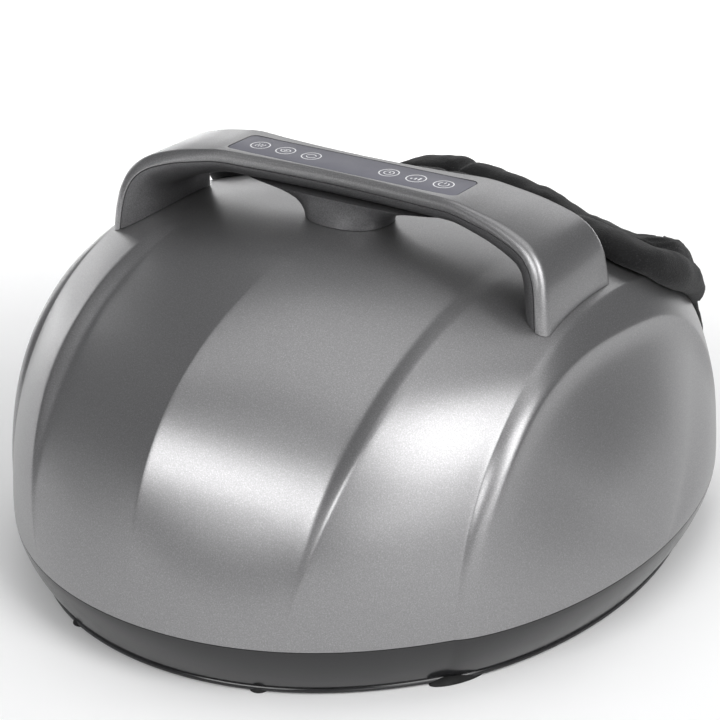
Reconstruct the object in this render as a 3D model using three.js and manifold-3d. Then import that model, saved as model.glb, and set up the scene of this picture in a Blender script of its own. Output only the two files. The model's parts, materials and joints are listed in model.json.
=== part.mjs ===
// Electric foot massager: a domed shell on a tray, a carrying handle with a touch panel over it,
// two cloth foot pockets that open to the rear, and a worm drive that turns the rollers under the soles.
// Millimetres. X runs along the handle, -Y is the toe side, +Y the user's side, +Z is up.

import * as THREE from 'three';
import { mergeVertices } from 'three/addons/utils/BufferGeometryUtils.js';
import Module from 'manifold-3d';

const wasm = await Module();
wasm.setup();

// Fits between pieces
const seatGap = 0.3;
const runningGap = 0.4;
const cutOverrun = 2;
const joinOverlap = 1;

// Outer form of the housing, measured from the line of greatest width
const frontReach = 250;
const backReach = 190;
const seamHeight = 38;
const domeRise = 177;
const shellWall = 3;
const earPlane = 164;
const earFrontReach = 164;
const earBackReach = 172;
const earPlaneDrop = 25.5;
const earBulge = 52;
const earRecess = 9;
const pleatFoot = 87;
const pleatValleyTop = 103;
const pleatCrestTop = 115;

// Fullness of the arches: 2 is an ellipse, more is squarer
const keelFullness = 2.6;
const valleyFullness = 2.17;
const crestFullness = 2.4;
const earFullness = 2.15;

// Tray under the seam
const footHeight = 3;
const trayFloor = 3;
const trayWall = 3;
const trayInset = 17;

// Rear opening
const rimReach = 72;
const openingHalfWidth = 161;
const sillHeight = 54;
const openingCorner = 22;
const rearTopReach = 100;
const rearTopHeight = 197;
const rearFootReach = 180;
const rearFootHeight = 57;
const clothThickness = 3;
const clothSink = 1.4;

// Handle
const handleRise = 33;
const panelStep = 1;
const handleFootSpan = 161.5;
const handleWall = 2.5;
const handleBand = 9;
const handleDepth = 14.5;
const handleEdgeRadius = 3;
const handleMiddleFront = 41;
const handleMiddleBack = 1;
const handleFootFront = 61.5;
const handleFootBack = 24;
const pedestalReach = 21.8;
const pedestalLong = 34;
const pedestalShort = 25;
const cableBore = 9;

// Touch panel and its board
const panelLength = 166;
const panelWidth = 29;
const panelThickness = 1.2;
const panelCorner = 4;
const boardThickness = 1.6;
const touchBoardLength = 140;
const touchBoardWidth = 22;

// Foot pockets
const footSpacing = 80;
const pocketHalfWidth = 53;
const sleeveWall = 2.5;
const plateThickness = 3;
const solePadThickness = 3.7;
const soleHeight = 57;
const sleeveToeReach = 178;
const sideFrameThickness = 4;

// Drive
const shaftHeight = 44;
const frontShaftReach = 90;
const rearShaftReach = 50;
const shaftRadius = 5;
const rollerRadius = 18;
const rollerLobe = 2.5;
const rollerLength = 80;
const rollerClearance = 2.5;
const gearModule = 1.5;
const wheelTeeth = 24;
const wheelWidth = 8;
const wormPitchRadius = 6.5;
const bearingOuter = 9;
const bearingWidth = 7;
const gearboxWall = 3;
const gearboxHalfWidth = 12.5;
const motorRadius = 18;
const motorLength = 60;

// Inner structure
const housingHalfWidth = 25;
const housingWall = 2.5;
const housingTop = 150;
const chassisThickness = 3;
const chassisShare = 0.88;
const columnRadius = 5.2;
const screwRadius = 1.8;

// Counts
const archSteps = 24;
const roundSides = 16;
const smallSides = 10;
const screwSides = 8;

// Heights that follow from others
const handleHeight = seamHeight + domeRise + handleRise;
const trayBottom = footHeight;
const trayInside = trayBottom + trayFloor;
const chassisBottom = trayInside + 6;
const chassisTop = chassisBottom + chassisThickness;
const standing = chassisTop + seatGap;
const soleTop = soleHeight + plateThickness;
const padTop = soleTop + seatGap + solePadThickness;
const sleeveBottom = padTop + seatGap;
const wheelPitchRadius = gearModule * wheelTeeth / 2;
const threadPitch = Math.PI * gearModule;
const wormHeight = shaftHeight + wheelPitchRadius + wormPitchRadius;

const vec = (x, y, z) => new THREE.Vector3(x, y, z);
const massager = new THREE.Group();

// Finishes, by the name of what they are
const finishes = {
  silverPaint: { color: 0x8e8f93, roughness: 0.36, metalness: 0.75 },
  glossGrey: { color: 0x3b3b3e, roughness: 0.22, metalness: 0.1 },
  linerGrey: { color: 0x5c5d61, roughness: 0.5, metalness: 0.2 },
  panelFilm: { color: 0x6a6a74, roughness: 0.3, metalness: 0.1 },
  blackCloth: { color: 0x1c1c1d, roughness: 0.95, metalness: 0 },
  blackPlastic: { color: 0x26272a, roughness: 0.55, metalness: 0 },
  ivoryPlastic: { color: 0xd9d6cc, roughness: 0.5, metalness: 0 },
  steel: { color: 0xb5b8bc, roughness: 0.3, metalness: 1 },
  bronze: { color: 0xa9854a, roughness: 0.4, metalness: 0.9 },
  board: { color: 0x1f5b3a, roughness: 0.5, metalness: 0.1 },
  rubber: { color: 0x202022, roughness: 0.85, metalness: 0 },
  foam: { color: 0x3d3f42, roughness: 0.95, metalness: 0 },
  airbag: { color: 0x4a5a6a, roughness: 0.7, metalness: 0 },
  amberFilm: { color: 0xb06a24, roughness: 0.45, metalness: 0.1 },
  hose: { color: 0xcfd3d6, roughness: 0.4, metalness: 0 },
};

function addPiece(name, geometry, finish) {
  const mesh = new THREE.Mesh(geometry, new THREE.MeshStandardMaterial(finishes[finish]));
  mesh.name = name;
  massager.add(mesh);
}

// Closed-mesh helpers

function signedVolume(points, faces) {
  let sum = 0;
  for (const [a, b, c] of faces) {
    sum += points[a].dot(points[b].clone().cross(points[c]));
  }
  return sum;
}

function geometryOf(points, faces) {
  const turned = signedVolume(points, faces) < 0 ? faces.map(([a, b, c]) => [a, c, b]) : faces;
  const geometry = new THREE.BufferGeometry();
  geometry.setFromPoints(points);
  geometry.setIndex(turned.flat());
  return tidied(geometry);
}

function tidied(geometry) {
  const bare = geometry.clone();
  for (const name of Object.keys(bare.attributes)) {
    if (name !== 'position') {
      bare.deleteAttribute(name);
    }
  }
  const merged = mergeVertices(bare, 1e-4);
  const index = merged.index.array;
  const kept = [];
  for (let i = 0; i < index.length; i += 3) {
    const [a, b, c] = [index[i], index[i + 1], index[i + 2]];
    if (a !== b && b !== c && c !== a) {
      kept.push(a, b, c);
    }
  }
  merged.setIndex(kept);
  return merged;
}

function solidOf(geometry) {
  const bare = tidied(geometry);
  return new wasm.Manifold(new wasm.Mesh({
    numProp: 3,
    vertProperties: Float32Array.from(bare.attributes.position.array),
    triVerts: Uint32Array.from(bare.index.array),
  }));
}

function geometryFrom(solid) {
  const mesh = solid.getMesh();
  const geometry = new THREE.BufferGeometry();
  geometry.setAttribute('position', new THREE.BufferAttribute(mesh.vertProperties, 3));
  geometry.setIndex(Array.from(mesh.triVerts));
  return geometry;
}

const joined = (geometries) => geometryFrom(geometries.map(solidOf).reduce((a, b) => a.add(b)));

function cut(geometry, cutters) {
  return geometryFrom(cutters.map(solidOf).reduce((a, b) => a.subtract(b), solidOf(geometry)));
}

const common = (first, second) => geometryFrom(solidOf(first).intersect(solidOf(second)));

function moved(geometry, x, y, z) {
  return geometry.clone().translate(x, y, z);
}

// Sections joined in order; capFaces closes both ends, or a fan to each end's middle does
function loft(rings, capFaces) {
  const count = rings[0].length;
  const points = rings.flat();
  const faces = [];
  for (let i = 0; i + 1 < rings.length; i += 1) {
    for (let j = 0; j < count; j += 1) {
      const a = i * count + j;
      const b = i * count + (j + 1) % count;
      faces.push([a, b, b + count], [a, b + count, a + count]);
    }
  }
  const last = (rings.length - 1) * count;
  if (capFaces) {
    for (const [a, b, c] of capFaces) {
      faces.push([a, c, b], [last + a, last + b, last + c]);
    }
  } else {
    for (const [ring, start, flip] of [[rings[0], 0, true], [rings[rings.length - 1], last, false]]) {
      const middle = points.length;
      points.push(ring.reduce((sum, p) => sum.add(p), vec(0, 0, 0)).divideScalar(count));
      for (let j = 0; j < count; j += 1) {
        const a = start + j;
        const b = start + (j + 1) % count;
        faces.push(flip ? [b, a, middle] : [a, b, middle]);
      }
    }
  }
  return geometryOf(points, faces);
}

// Triangles over a section's outline, turned the way that the outline runs
function capOf(flat) {
  const area = THREE.ShapeUtils.area;
  return THREE.ShapeUtils.triangulateShape(flat, []).map(([a, b, c]) => (
    area([flat[a], flat[b], flat[c]]) * area(flat) > 0 ? [a, b, c] : [a, c, b]));
}

// Prisms of an outline, along each axis
function shapeOf(points, holes = []) {
  const shape = new THREE.Shape(points.map(([a, b]) => new THREE.Vector2(a, b)));
  shape.holes = holes.map((hole) => new THREE.Path(hole.map(([a, b]) => new THREE.Vector2(a, b))));
  return shape;
}

function extrusion(points, depth, holes) {
  return new THREE.ExtrudeGeometry(shapeOf(points, holes), { depth, steps: 1, bevelEnabled: false });
}

const prismZ = (points, low, high, holes) => extrusion(points, high - low, holes).translate(0, 0, low);

function prismX(points, low, high, holes) {
  const turn = new THREE.Matrix4().makeBasis(vec(0, 1, 0), vec(0, 0, 1), vec(1, 0, 0));
  return extrusion(points, high - low, holes).applyMatrix4(turn).translate(low, 0, 0);
}

function prismY(points, low, high, holes) {
  return extrusion(points, high - low, holes).rotateX(Math.PI / 2).translate(0, high, 0);
}

function circle(radius, sides, a = 0, b = 0) {
  const points = [];
  for (let i = 0; i < sides; i += 1) {
    const angle = 2 * Math.PI * (i + 0.5) / sides;
    points.push([a + radius * Math.cos(angle), b + radius * Math.sin(angle)]);
  }
  return points;
}

const rectangle = (a0, b0, a1, b1) => [[a0, b0], [a1, b0], [a1, b1], [a0, b1]];

function roundedRectangle(a0, b0, a1, b1, radius, steps = 3) {
  const points = [];
  const corners = [[a1 - radius, b1 - radius, 0], [a0 + radius, b1 - radius, 1],
    [a0 + radius, b0 + radius, 2], [a1 - radius, b0 + radius, 3]];
  for (const [a, b, quarter] of corners) {
    for (let i = 0; i <= steps; i += 1) {
      const angle = Math.PI / 2 * (quarter + i / steps);
      points.push([a + radius * Math.cos(angle), b + radius * Math.sin(angle)]);
    }
  }
  return points;
}

function block(x0, x1, y0, y1, z0, z1) {
  return new THREE.BoxGeometry(x1 - x0, y1 - y0, z1 - z0)
    .translate((x0 + x1) / 2, (y0 + y1) / 2, (z0 + z1) / 2);
}

const rodZ = (radius, x, y, low, high, sides = roundSides) => prismZ(circle(radius, sides, x, y), low, high);
const rodX = (radius, y, z, low, high, sides = roundSides) => prismX(circle(radius, sides, y, z), low, high);
const rodY = (radius, x, z, low, high, sides = roundSides) => prismY(circle(radius, sides, x, z), low, high);

function ringX(outer, inner, y, z, low, high) {
  return prismX(circle(outer, roundSides, y, z), low, high, [circle(inner, roundSides, y, z)]);
}

function ringY(outer, inner, x, z, low, high) {
  return prismY(circle(outer, roundSides, x, z), low, high, [circle(inner, roundSides, x, z)]);
}

function tubeAlong(points, radius, steps, sides = screwSides) {
  const curve = new THREE.CatmullRomCurve3(points, false, 'centripetal');
  const shape = shapeOf(circle(radius, sides));
  return tidied(new THREE.ExtrudeGeometry(shape, { steps, extrudePath: curve }));
}

// A screw whose head sits at the foot of its shank
function screw(x, y, headBottom, headRadius, headHeight, shankRadius, length) {
  const profile = [[0, 0], [headRadius, 0], [headRadius, headHeight], [shankRadius, headHeight],
    [shankRadius, headHeight + length], [0, headHeight + length]];
  const points = profile.map(([r, z]) => new THREE.Vector2(r, z));
  return new THREE.LatheGeometry(points, screwSides).rotateX(Math.PI / 2).translate(x, y, headBottom);
}

// The dome: arches from the front seam over the top to the back seam, one for each place across

const bowShare = 0.8;
const backBowShare = 0.35;

function frontReachAt(x) {
  const u = x / earPlane;
  return frontReach - (frontReach - earFrontReach) * (bowShare * u ** 2 + (1 - bowShare) * u ** 4);
}

function backReachAt(x) {
  const u = x / earPlane;
  return backReach - (backReach - earBackReach) * (backBowShare * u ** 2 + (1 - backBowShare) * u ** 6);
}

const riseAt = (x) => domeRise - earPlaneDrop * (x / earPlane) ** 2;

function archPoint(x, fullness, angle) {
  const along = Math.cos(angle);
  const reach = along > 0 ? frontReachAt(x) : backReachAt(x);
  const y = -Math.sign(along) * Math.abs(along) ** (2 / fullness) * reach;
  const z = Math.max(Math.sin(angle), 0) ** (2 / fullness) * riseAt(x);
  return vec(x, y, seamHeight + z);
}

const mix = (a, b, share) => a + (b - a) * share;

// place: 0 keel, 1 pleat valley, 2 pleat crest, 3 ear crease; 3 to 4 is the ear, out to its pole
function domePoint(place, angle) {
  const height = Math.max(Math.sin(angle), 0) ** (2 / crestFullness);
  const valley = mix(pleatFoot, pleatValleyTop, height ** 0.75);
  const crest = mix(pleatFoot, pleatCrestTop, 1 - (1 - height) ** 1.6);
  if (place <= 1) {
    return archPoint(valley * place, mix(keelFullness, valleyFullness, place), angle);
  }
  if (place <= 2) {
    return archPoint(mix(valley, crest, place - 1), mix(valleyFullness, crestFullness, place - 1), angle);
  }
  if (place <= 3) {
    return archPoint(mix(crest, earPlane, place - 2), mix(crestFullness, earFullness, place - 2), angle);
  }
  return earPoint(4 - place, angle);
}

const eased = (t) => {
  const held = Math.min(Math.max(t, 0), 1);
  return held * held * (3 - 2 * held);
};

function earPoint(shrink, angle) {
  const arch = archPoint(earPlane, earFullness, angle);
  const coveShare = 0.83;
  const fadeShare = 0.25;
  const deep = earRecess * eased(Math.sin(angle) / 0.75);
  const fall = shrink > coveShare
    ? (1 - shrink) / (1 - coveShare)
    : eased((shrink - fadeShare) / (coveShare - fadeShare));
  const out = earBulge * (1 - shrink ** 2) ** 0.8 - deep * fall;
  return vec(earPlane + out, arch.y * shrink, seamHeight + (arch.z - seamHeight) * shrink);
}

const placeShares = [0, 0.5, 1, 2, 2.5, 3, 3.07, 3.17, 3.4, 3.7, 4];

function domeGrid() {
  const columns = [];
  const half = placeShares.map((place) => {
    const column = [];
    for (let j = 0; j <= archSteps; j += 1) {
      column.push(domePoint(place, Math.PI * j / archSteps));
    }
    return column;
  });
  for (let i = half.length - 1; i > 0; i -= 1) {
    columns.push(half[i].map((p) => vec(-p.x, p.y, p.z)));
  }
  return columns.concat(half);
}

function gridNormals(grid) {
  const normals = grid.map((column) => column.map(() => vec(0, 0, 0)));
  for (let i = 0; i + 1 < grid.length; i += 1) {
    for (let j = 0; j + 1 < grid[i].length; j += 1) {
      const across = grid[i + 1][j + 1].clone().sub(grid[i][j]);
      const along = grid[i][j + 1].clone().sub(grid[i + 1][j]);
      const face = across.cross(along);
      for (const [a, b] of [[i, j], [i + 1, j], [i, j + 1], [i + 1, j + 1]]) {
        normals[a][b].add(face);
      }
    }
  }
  for (const end of [0, grid.length - 1]) {
    const sum = normals[end].reduce((total, n) => total.add(n), vec(0, 0, 0));
    normals[end] = normals[end].map(() => sum.clone());
  }
  return normals.map((column) => column.map((n, j) => {
    if (j === 0 || j === column.length - 1) {
      n.z = 0;
    }
    return n.normalize();
  }));
}

const outerGrid = domeGrid();
const outerNormals = gridNormals(outerGrid);
const sign = Math.sign(outerNormals[Math.floor(outerGrid.length / 2)][archSteps / 2].z);

function offsetGrid(distance) {
  return outerGrid.map((column, i) => column.map((p, j) => {
    const n = outerNormals[i][j];
    return p.clone().addScaledVector(n, sign * distance);
  }));
}

function skinFaces(grid, start, faces, flip) {
  const rows = grid[0].length;
  for (let i = 0; i + 1 < grid.length; i += 1) {
    for (let j = 0; j + 1 < rows; j += 1) {
      const a = start + i * rows + j;
      const b = a + rows;
      const quads = [[a, b, b + 1], [a, b + 1, a + 1]];
      faces.push(...quads.map(([p, q, r]) => (flip ? [p, r, q] : [p, q, r])));
    }
  }
}

// The whole dome as a filled body, grown or shrunk by a distance
function domeBody(distance) {
  const grid = offsetGrid(distance);
  const rows = grid[0].length;
  const faces = [];
  skinFaces(grid, 0, faces, false);
  for (let i = 0; i + 1 < grid.length; i += 1) {
    const a = i * rows;
    const b = a + rows;
    faces.push([a, b + rows - 1, b], [a, a + rows - 1, b + rows - 1]);
  }
  return geometryOf(grid.flat(), faces);
}

function domeSkin() {
  const inner = offsetGrid(-shellWall);
  const rows = outerGrid[0].length;
  const start = outerGrid.length * rows;
  const faces = [];
  skinFaces(outerGrid, 0, faces, false);
  skinFaces(inner, start, faces, true);
  for (let i = 0; i + 1 < outerGrid.length; i += 1) {
    for (const [j, flip] of [[0, false], [rows - 1, true]]) {
      const a = i * rows + j;
      const b = a + rows;
      const quads = [[a, a + start, b + start], [a, b + start, b]];
      faces.push(...quads.map(([p, q, r]) => (flip ? [p, r, q] : [p, q, r])));
    }
  }
  return geometryOf([...outerGrid.flat(), ...inner.flat()], faces);
}

// Height of the dome over a point of its middle part
function fullnessAt(x) {
  const across = Math.abs(x);
  if (across < pleatValleyTop) {
    return mix(keelFullness, valleyFullness, across / pleatValleyTop);
  }
  return mix(crestFullness, earFullness, (across - pleatValleyTop) / (earPlane - pleatValleyTop));
}

function domeHeight(x, y) {
  const reach = y < 0 ? frontReachAt(Math.abs(x)) : backReachAt(x);
  const fullness = fullnessAt(x);
  return seamHeight + riseAt(x) * (1 - (Math.abs(y) / reach) ** fullness) ** (1 / fullness);
}

function domeNormal(x, y) {
  const step = 0.5;
  const slopeX = (domeHeight(x + step, y) - domeHeight(x - step, y)) / (2 * step);
  const slopeY = (domeHeight(x, y + step) - domeHeight(x, y - step)) / (2 * step);
  return vec(-slopeX, -slopeY, 1).normalize();
}

// The seam seen from above, and the tray that hangs from it
const seamOutline = [
  ...outerGrid.map((column) => column[0]),
  ...outerGrid.slice(1, -1).reverse().map((column) => column[archSteps]),
].filter((p, i, all) => p.distanceTo(all[(i + 1) % all.length]) > seatGap);

function seamRing(inset, z) {
  const count = seamOutline.length;
  return seamOutline.map((p, i) => {
    const before = seamOutline[(i + count - 1) % count];
    const after = seamOutline[(i + 1) % count];
    const outward = vec(after.y - before.y, before.x - after.x, 0).normalize();
    return vec(p.x - outward.x * inset, p.y - outward.y * inset, z);
  });
}

const traySinkShare = 1.5;
const trayInsetAt = (z) => trayInset * (1 - (z - trayBottom) / (seamHeight - trayBottom)) ** traySinkShare;

const screwPlaces = [[70, -205], [180, 75]].flatMap(([x, y]) => [[x, y], [-x, y]]);

function trayBody(inset, low, floorInset, above) {
  const heights = [1, 0.6, 0.3, 0.07];
  const top = seamHeight - seatGap / 2;
  const rings = above > 0 ? [seamRing(inset, top + above)] : [];
  for (const share of heights) {
    const z = mix(trayBottom, top, share);
    if (z > low + 1) {
      rings.push(seamRing(trayInsetAt(z) + inset, z));
    }
  }
  rings.push(seamRing(floorInset, low));
  return loft(rings);
}

function baseTray() {
  const outside = trayBody(0, trayBottom, trayInset + 1, 0);
  const inside = trayBody(trayWall, trayInside, trayInset + trayWall, cutOverrun);
  const towers = screwPlaces.map(([x, y]) => rodZ(columnRadius, x, y, trayInside - 1,
    seamHeight - seatGap, smallSides));
  const bosses = bossPlaces.map(([x, y]) => rodZ(bossRadius, x, y, trayInside - 1,
    chassisBottom - seatGap, smallSides));
  const hollow = cut(outside, [inside]);
  const built = joined([hollow, ...towers, ...bosses]);
  const drills = screwPlaces.flatMap(([x, y]) => [
    rodZ(screwRadius + seatGap, x, y, 0, seamHeight + cutOverrun, screwSides),
    rodZ(screwHead + seatGap, x, y, 0, trayBottom + screwRecess, screwSides),
  ]);
  const slots = [];
  for (let i = -ventCount; i <= ventCount; i += 1) {
    for (const side of [-1, 1]) {
      const x = side * ventReach + i * ventPitch;
      slots.push(block(x - ventWidth / 2, x + ventWidth / 2, -ventLength / 2, ventLength / 2,
        trayBottom - cutOverrun, trayInside + cutOverrun));
    }
  }
  const seats = footPlaces.map(([x, y]) => rodZ(footRadius + seatGap, x, y, 0, trayBottom + footSink));
  const jackHole = rodY(jackRadius + seatGap, jackPlace, jackHeight, earBackReach - 30, backReach + 10);
  return cut(built, [...drills, ...slots, ...seats, jackHole]);
}

const screwHead = 3.6;
const screwHeadHeight = 2.4;
const screwRecess = 3.2;
const bossRadius = 5;
const bossPlaces = [[60, -150], [110, 0], [60, 110]].flatMap(([x, y]) => [[x, y], [-x, y]]);
const ventCount = 1;
const ventReach = 80;
const ventPitch = 9;
const ventWidth = 3.5;
const ventLength = 36;
const footRadius = 11;
const footSink = 1;
const footPlaces = [[112, -150], [118, 118]].flatMap(([x, y]) => [[x, y], [-x, y]]);
const jackRadius = 5.5;
const jackPlace = 62;
const jackHeight = 20;

// Upper shell: the skin, its screw columns, the rear opening and the holes under the handle
function openingOutline(grow) {
  const low = sillHeight - grow;
  const half = openingHalfWidth + grow;
  const top = seamHeight + domeRise + 40;
  return roundedRectangle(-half, low, half, top, openingCorner + grow, 4);
}

const handleScrewPlaces = [[149.5, -20], [-149.5, -20]];

function upperShell() {
  const columns = screwPlaces.map(([x, y]) => rodZ(columnRadius, x, y, seamHeight + seatGap,
    seamHeight + domeRise, smallSides));
  const ribs = columns.map((column) => common(column, domeBody(-shellWall / 2)));
  const opening = prismY(openingOutline(0), rimReach, backReach + 20);
  const drills = [
    rodZ(cableBore, 0, -pedestalReach, seamHeight + domeRise - 20, handleHeight, smallSides),
    ...handleScrewPlaces.map(([x, y]) => rodZ(screwRadius + seatGap, x, y, seamHeight + 100,
      handleHeight, screwSides)),
    ...screwPlaces.map(([x, y]) => rodZ(screwRadius + seatGap, x, y, seamHeight - 1,
      seamHeight + 18, screwSides)),
  ];
  return cut(joined([domeSkin(), ...ribs]), [opening, ...drills]);
}

// Handle: a path over the top, with a cover section and a liner section swept along it
const handlePath = [
  [handleFootSpan, handleHeight - 74], [159.8, handleHeight - 60], [158, handleHeight - 45],
  [155.3, handleHeight - 33], [149.5, handleHeight - 22], [139, handleHeight - 13.3],
  [121, handleHeight - 6.6], [102, handleHeight - 2.6], [84, handleHeight], [62, handleHeight],
  [40, handleHeight], [18, handleHeight], [0, handleHeight],
];

function handleStations() {
  const right = handlePath.map(([x, z]) => ({ x, z }));
  const left = right.slice(0, -1).map(({ x, z }) => ({ x: -x, z })).reverse();
  const all = [...right, ...left];
  return all.map(({ x, z }, i) => {
    const before = all[Math.max(i - 1, 0)];
    const after = all[Math.min(i + 1, all.length - 1)];
    const inward = vec(before.z - after.z, 0, after.x - before.x).normalize();
    const spread = Math.min(Math.abs(x) / handleFootSpan, 1);
    const flare = spread ** 1.9 * 0.75 + 0.25 * eased((handleHeight - z) / 60);
    return {
      at: vec(x, 0, z),
      inward,
      front: -mix(handleMiddleFront, handleFootFront, flare),
      back: mix(-handleMiddleBack, handleFootBack, flare),
    };
  });
}

function sweptHandle(sectionFor) {
  const rings = handleStations().map((station) => sectionFor(station.front, station.back)
    .map(([y, depth]) => station.at.clone().addScaledVector(station.inward, depth).add(vec(0, y, 0))));
  const flat = sectionFor(-1 * handleMiddleFront, -handleMiddleBack)
    .map(([y, depth]) => new THREE.Vector2(y, depth));
  return loft(rings, capOf(flat));
}

function coverSection(front, back) {
  const r = handleEdgeRadius;
  const w = handleWall;
  return [[front, handleBand], [front, r], [front + r * 0.3, r * 0.3], [front + r, 0],
    [back - r, 0], [back - r * 0.3, r * 0.3], [back, r], [back, handleBand],
    [back - w, handleBand], [back - w, w], [front + w, w], [front + w, handleBand]];
}

function linerSection(front, back) {
  const w = handleWall;
  const f = front + w + seatGap;
  const b = back - w - seatGap;
  const top = handleBand - handleEdgeRadius;
  const r = handleEdgeRadius;
  return [[f, top], [f, handleDepth - r], [f + r, handleDepth], [b - r, handleDepth],
    [b, handleDepth - r], [b, top], [b - w, top], [b - w, handleDepth - w],
    [f + w, handleDepth - w], [f + w, top]];
}

const panelOutline = (grow) => {
  const middle = -(handleMiddleFront + handleMiddleBack) / 2 - panelStep;
  const halfWidth = panelWidth / 2 + grow;
  const halfLength = panelLength / 2 + grow;
  return roundedRectangle(-halfLength, middle - halfWidth, halfLength, middle + halfWidth, panelCorner);
};

function handleCover() {
  const recess = prismZ(panelOutline(seatGap), handleHeight - panelThickness - seatGap,
    handleHeight + cutOverrun);
  return cut(sweptHandle(coverSection), [domeBody(seatGap), recess]);
}

// The pedestal flares from its waist down to the dome and up to the liner
const pedestalShares = [[0, 1], [0.2, 0.86], [0.42, 0.8], [0.65, 0.84], [0.85, 0.98], [1, 1.12]];

function pedestal() {
  const low = seamHeight + domeRise - 8;
  const high = handleHeight - handleDepth + handleWall / 2;
  const rings = pedestalShares.map(([rise, girth]) => {
    const ring = [];
    for (let i = 0; i < 20; i += 1) {
      const angle = 2 * Math.PI * i / 20;
      const short = Math.min(pedestalShort * girth, (handleMiddleFront - handleMiddleBack) / 2
        - handleWall + (1 - rise) * 6);
      ring.push(vec(pedestalLong * girth * Math.cos(angle),
        -pedestalReach + short * Math.sin(angle), mix(low, high, rise)));
    }
    return ring;
  });
  return loft(rings);
}

function handleLiner() {
  const posts = handleScrewPlaces.map(([x, y]) => rodZ(handlePost, x, y, seamHeight + 120,
    handleHeight - 42, smallSides));
  const bores = [
    rodZ(cableBore - 1, 0, -pedestalReach, seamHeight + domeRise - 20, handleHeight, smallSides),
    ...handleScrewPlaces.map(([x, y]) => rodZ(screwRadius + seatGap, x, y, seamHeight + 100,
      handleHeight - 44, screwSides)),
  ];
  return cut(joined([sweptHandle(linerSection), pedestal(), ...posts]), [domeBody(seatGap), ...bores]);
}

const handlePost = 5;

// Cloth of the rear opening
const rearLean = Math.hypot(rearFootReach - rearTopReach, rearTopHeight - rearFootHeight);
const leanY = (rearFootReach - rearTopReach) / rearLean;
const leanZ = (rearFootHeight - rearTopHeight) / rearLean;

function behindSlant(inset, reach) {
  const shift = [inset * leanZ, -inset * leanY];
  const at = (distance) => [rearTopReach + leanY * distance + shift[0],
    rearTopHeight + leanZ * distance + shift[1]];
  const upper = at(-55);
  const lower = at(rearLean + 40);
  return reach > 0
    ? [upper, lower, [lower[0] + reach, lower[1]], [lower[0] + reach, upper[1]]]
    : [upper, [rimReach - 10, upper[1]], [rimReach - 10, lower[1]], lower];
}

// Foot pockets: each ring leans back from its foot to its top
const toeLean = 1;
const tipLow = 86;
const tipHigh = 116;
const toeStep = 6;
const toeLow = 77;
const toeHigh = 127;
const ballStep = 20;
const ballLean = 4;
const ballLow = 68;
const ballHigh = 136;
const instepFoot = 132;
const instepTop = 124;
const instepHeight = 142;
const archFoot = 50;
const archTop = 42;
const archHeight = 150;
const heelFoot = 30;
const heelTop = 20;
const heelHeight = 156;
const ankleFoot = 110;
const ankleTop = 76;
const ankleHeight = 170;
const mouthFoot = 174;
const mouthTop = 115;
const mouthHeight = 173;
const mouthLift = 3;
const sleeveHalfShares = [0.55, 0.76, 0.93, 1, 1, 1, 1, 0.99];
const sleeveRings = [
  { foot: [-sleeveToeReach, tipLow], top: [toeLean - sleeveToeReach, tipHigh] },
  { foot: [toeStep - sleeveToeReach, toeLow], top: [toeStep + toeLean - sleeveToeReach, toeHigh] },
  { foot: [ballStep - sleeveToeReach, ballLow], top: [ballStep + ballLean - sleeveToeReach, ballHigh] },
  { foot: [-instepFoot, sleeveBottom], top: [-instepTop, instepHeight] },
  { foot: [-archFoot, sleeveBottom], top: [-archTop, archHeight] },
  { foot: [heelFoot, sleeveBottom], top: [heelTop, heelHeight] },
  { foot: [ankleFoot, sleeveBottom], top: [ankleTop, ankleHeight] },
  { foot: [mouthFoot, sleeveBottom + mouthLift], top: [mouthTop, mouthHeight] },
].map((ring, i) => ({ ...ring, half: sleeveHalfShares[i] }));

function sleeveSection(ring, side, shrink) {
  const points = [];
  const [footY, footZ] = ring.foot;
  const [topY, topZ] = ring.top;
  const length = Math.hypot(topY - footY, topZ - footZ);
  const squareness = 0.62;
  for (let i = 0; i < 20; i += 1) {
    const angle = 2 * Math.PI * i / 20;
    const c = Math.cos(angle);
    const s = Math.sin(angle);
    const across = Math.sign(c) * Math.abs(c) ** squareness * (ring.half * pocketHalfWidth - shrink);
    const up = 0.5 + 0.5 * Math.sign(s) * Math.abs(s) ** squareness * (1 - 2 * shrink / length);
    points.push(vec(side * footSpacing + across, mix(footY, topY, up), mix(footZ, topZ, up)));
  }
  return points;
}

function sleeveBody(side, shrink) {
  const rings = sleeveRings.map((ring) => sleeveSection(ring, side, shrink));
  if (shrink > 0) {
    const depth = Math.min(shrink, sleeveWall);
    rings[0].forEach((p) => { p.y += depth; });
    const last = rings[rings.length - 1];
    rings.push(last.map((p) => vec(p.x, p.y - leanZ * cutOverrun, p.z + leanY * cutOverrun)));
  }
  return loft(rings);
}

function footSleeve(side) {
  return cut(sleeveBody(side, 0), [sleeveBody(side, sleeveWall)]);
}

function rearCloth() {
  const outer = domeBody(-clothSink);
  const zone = prismY(openingOutline(-seatGap), rimReach + seatGap, backReach + 20);
  const filled = common(outer, zone);
  const side = openingHalfWidth - clothThickness - 1;
  const scoop = prismX(behindSlant(0, 120), -side + clothThickness, side - clothThickness);
  const interior = common(domeBody(-clothSink - clothThickness),
    prismX(behindSlant(clothThickness, 0), -side, side));
  const mouths = [-1, 1].map((pocket) => {
    const rings = sleeveRings.map((ring) => sleeveSection(ring, pocket, -seatGap));
    const last = rings[rings.length - 1];
    rings.push(last.map((p) => vec(p.x, p.y - leanZ * 12, p.z + leanY * 12)));
    return loft(rings);
  });
  return cut(filled, [scoop, interior, ...mouths]);
}

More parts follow.
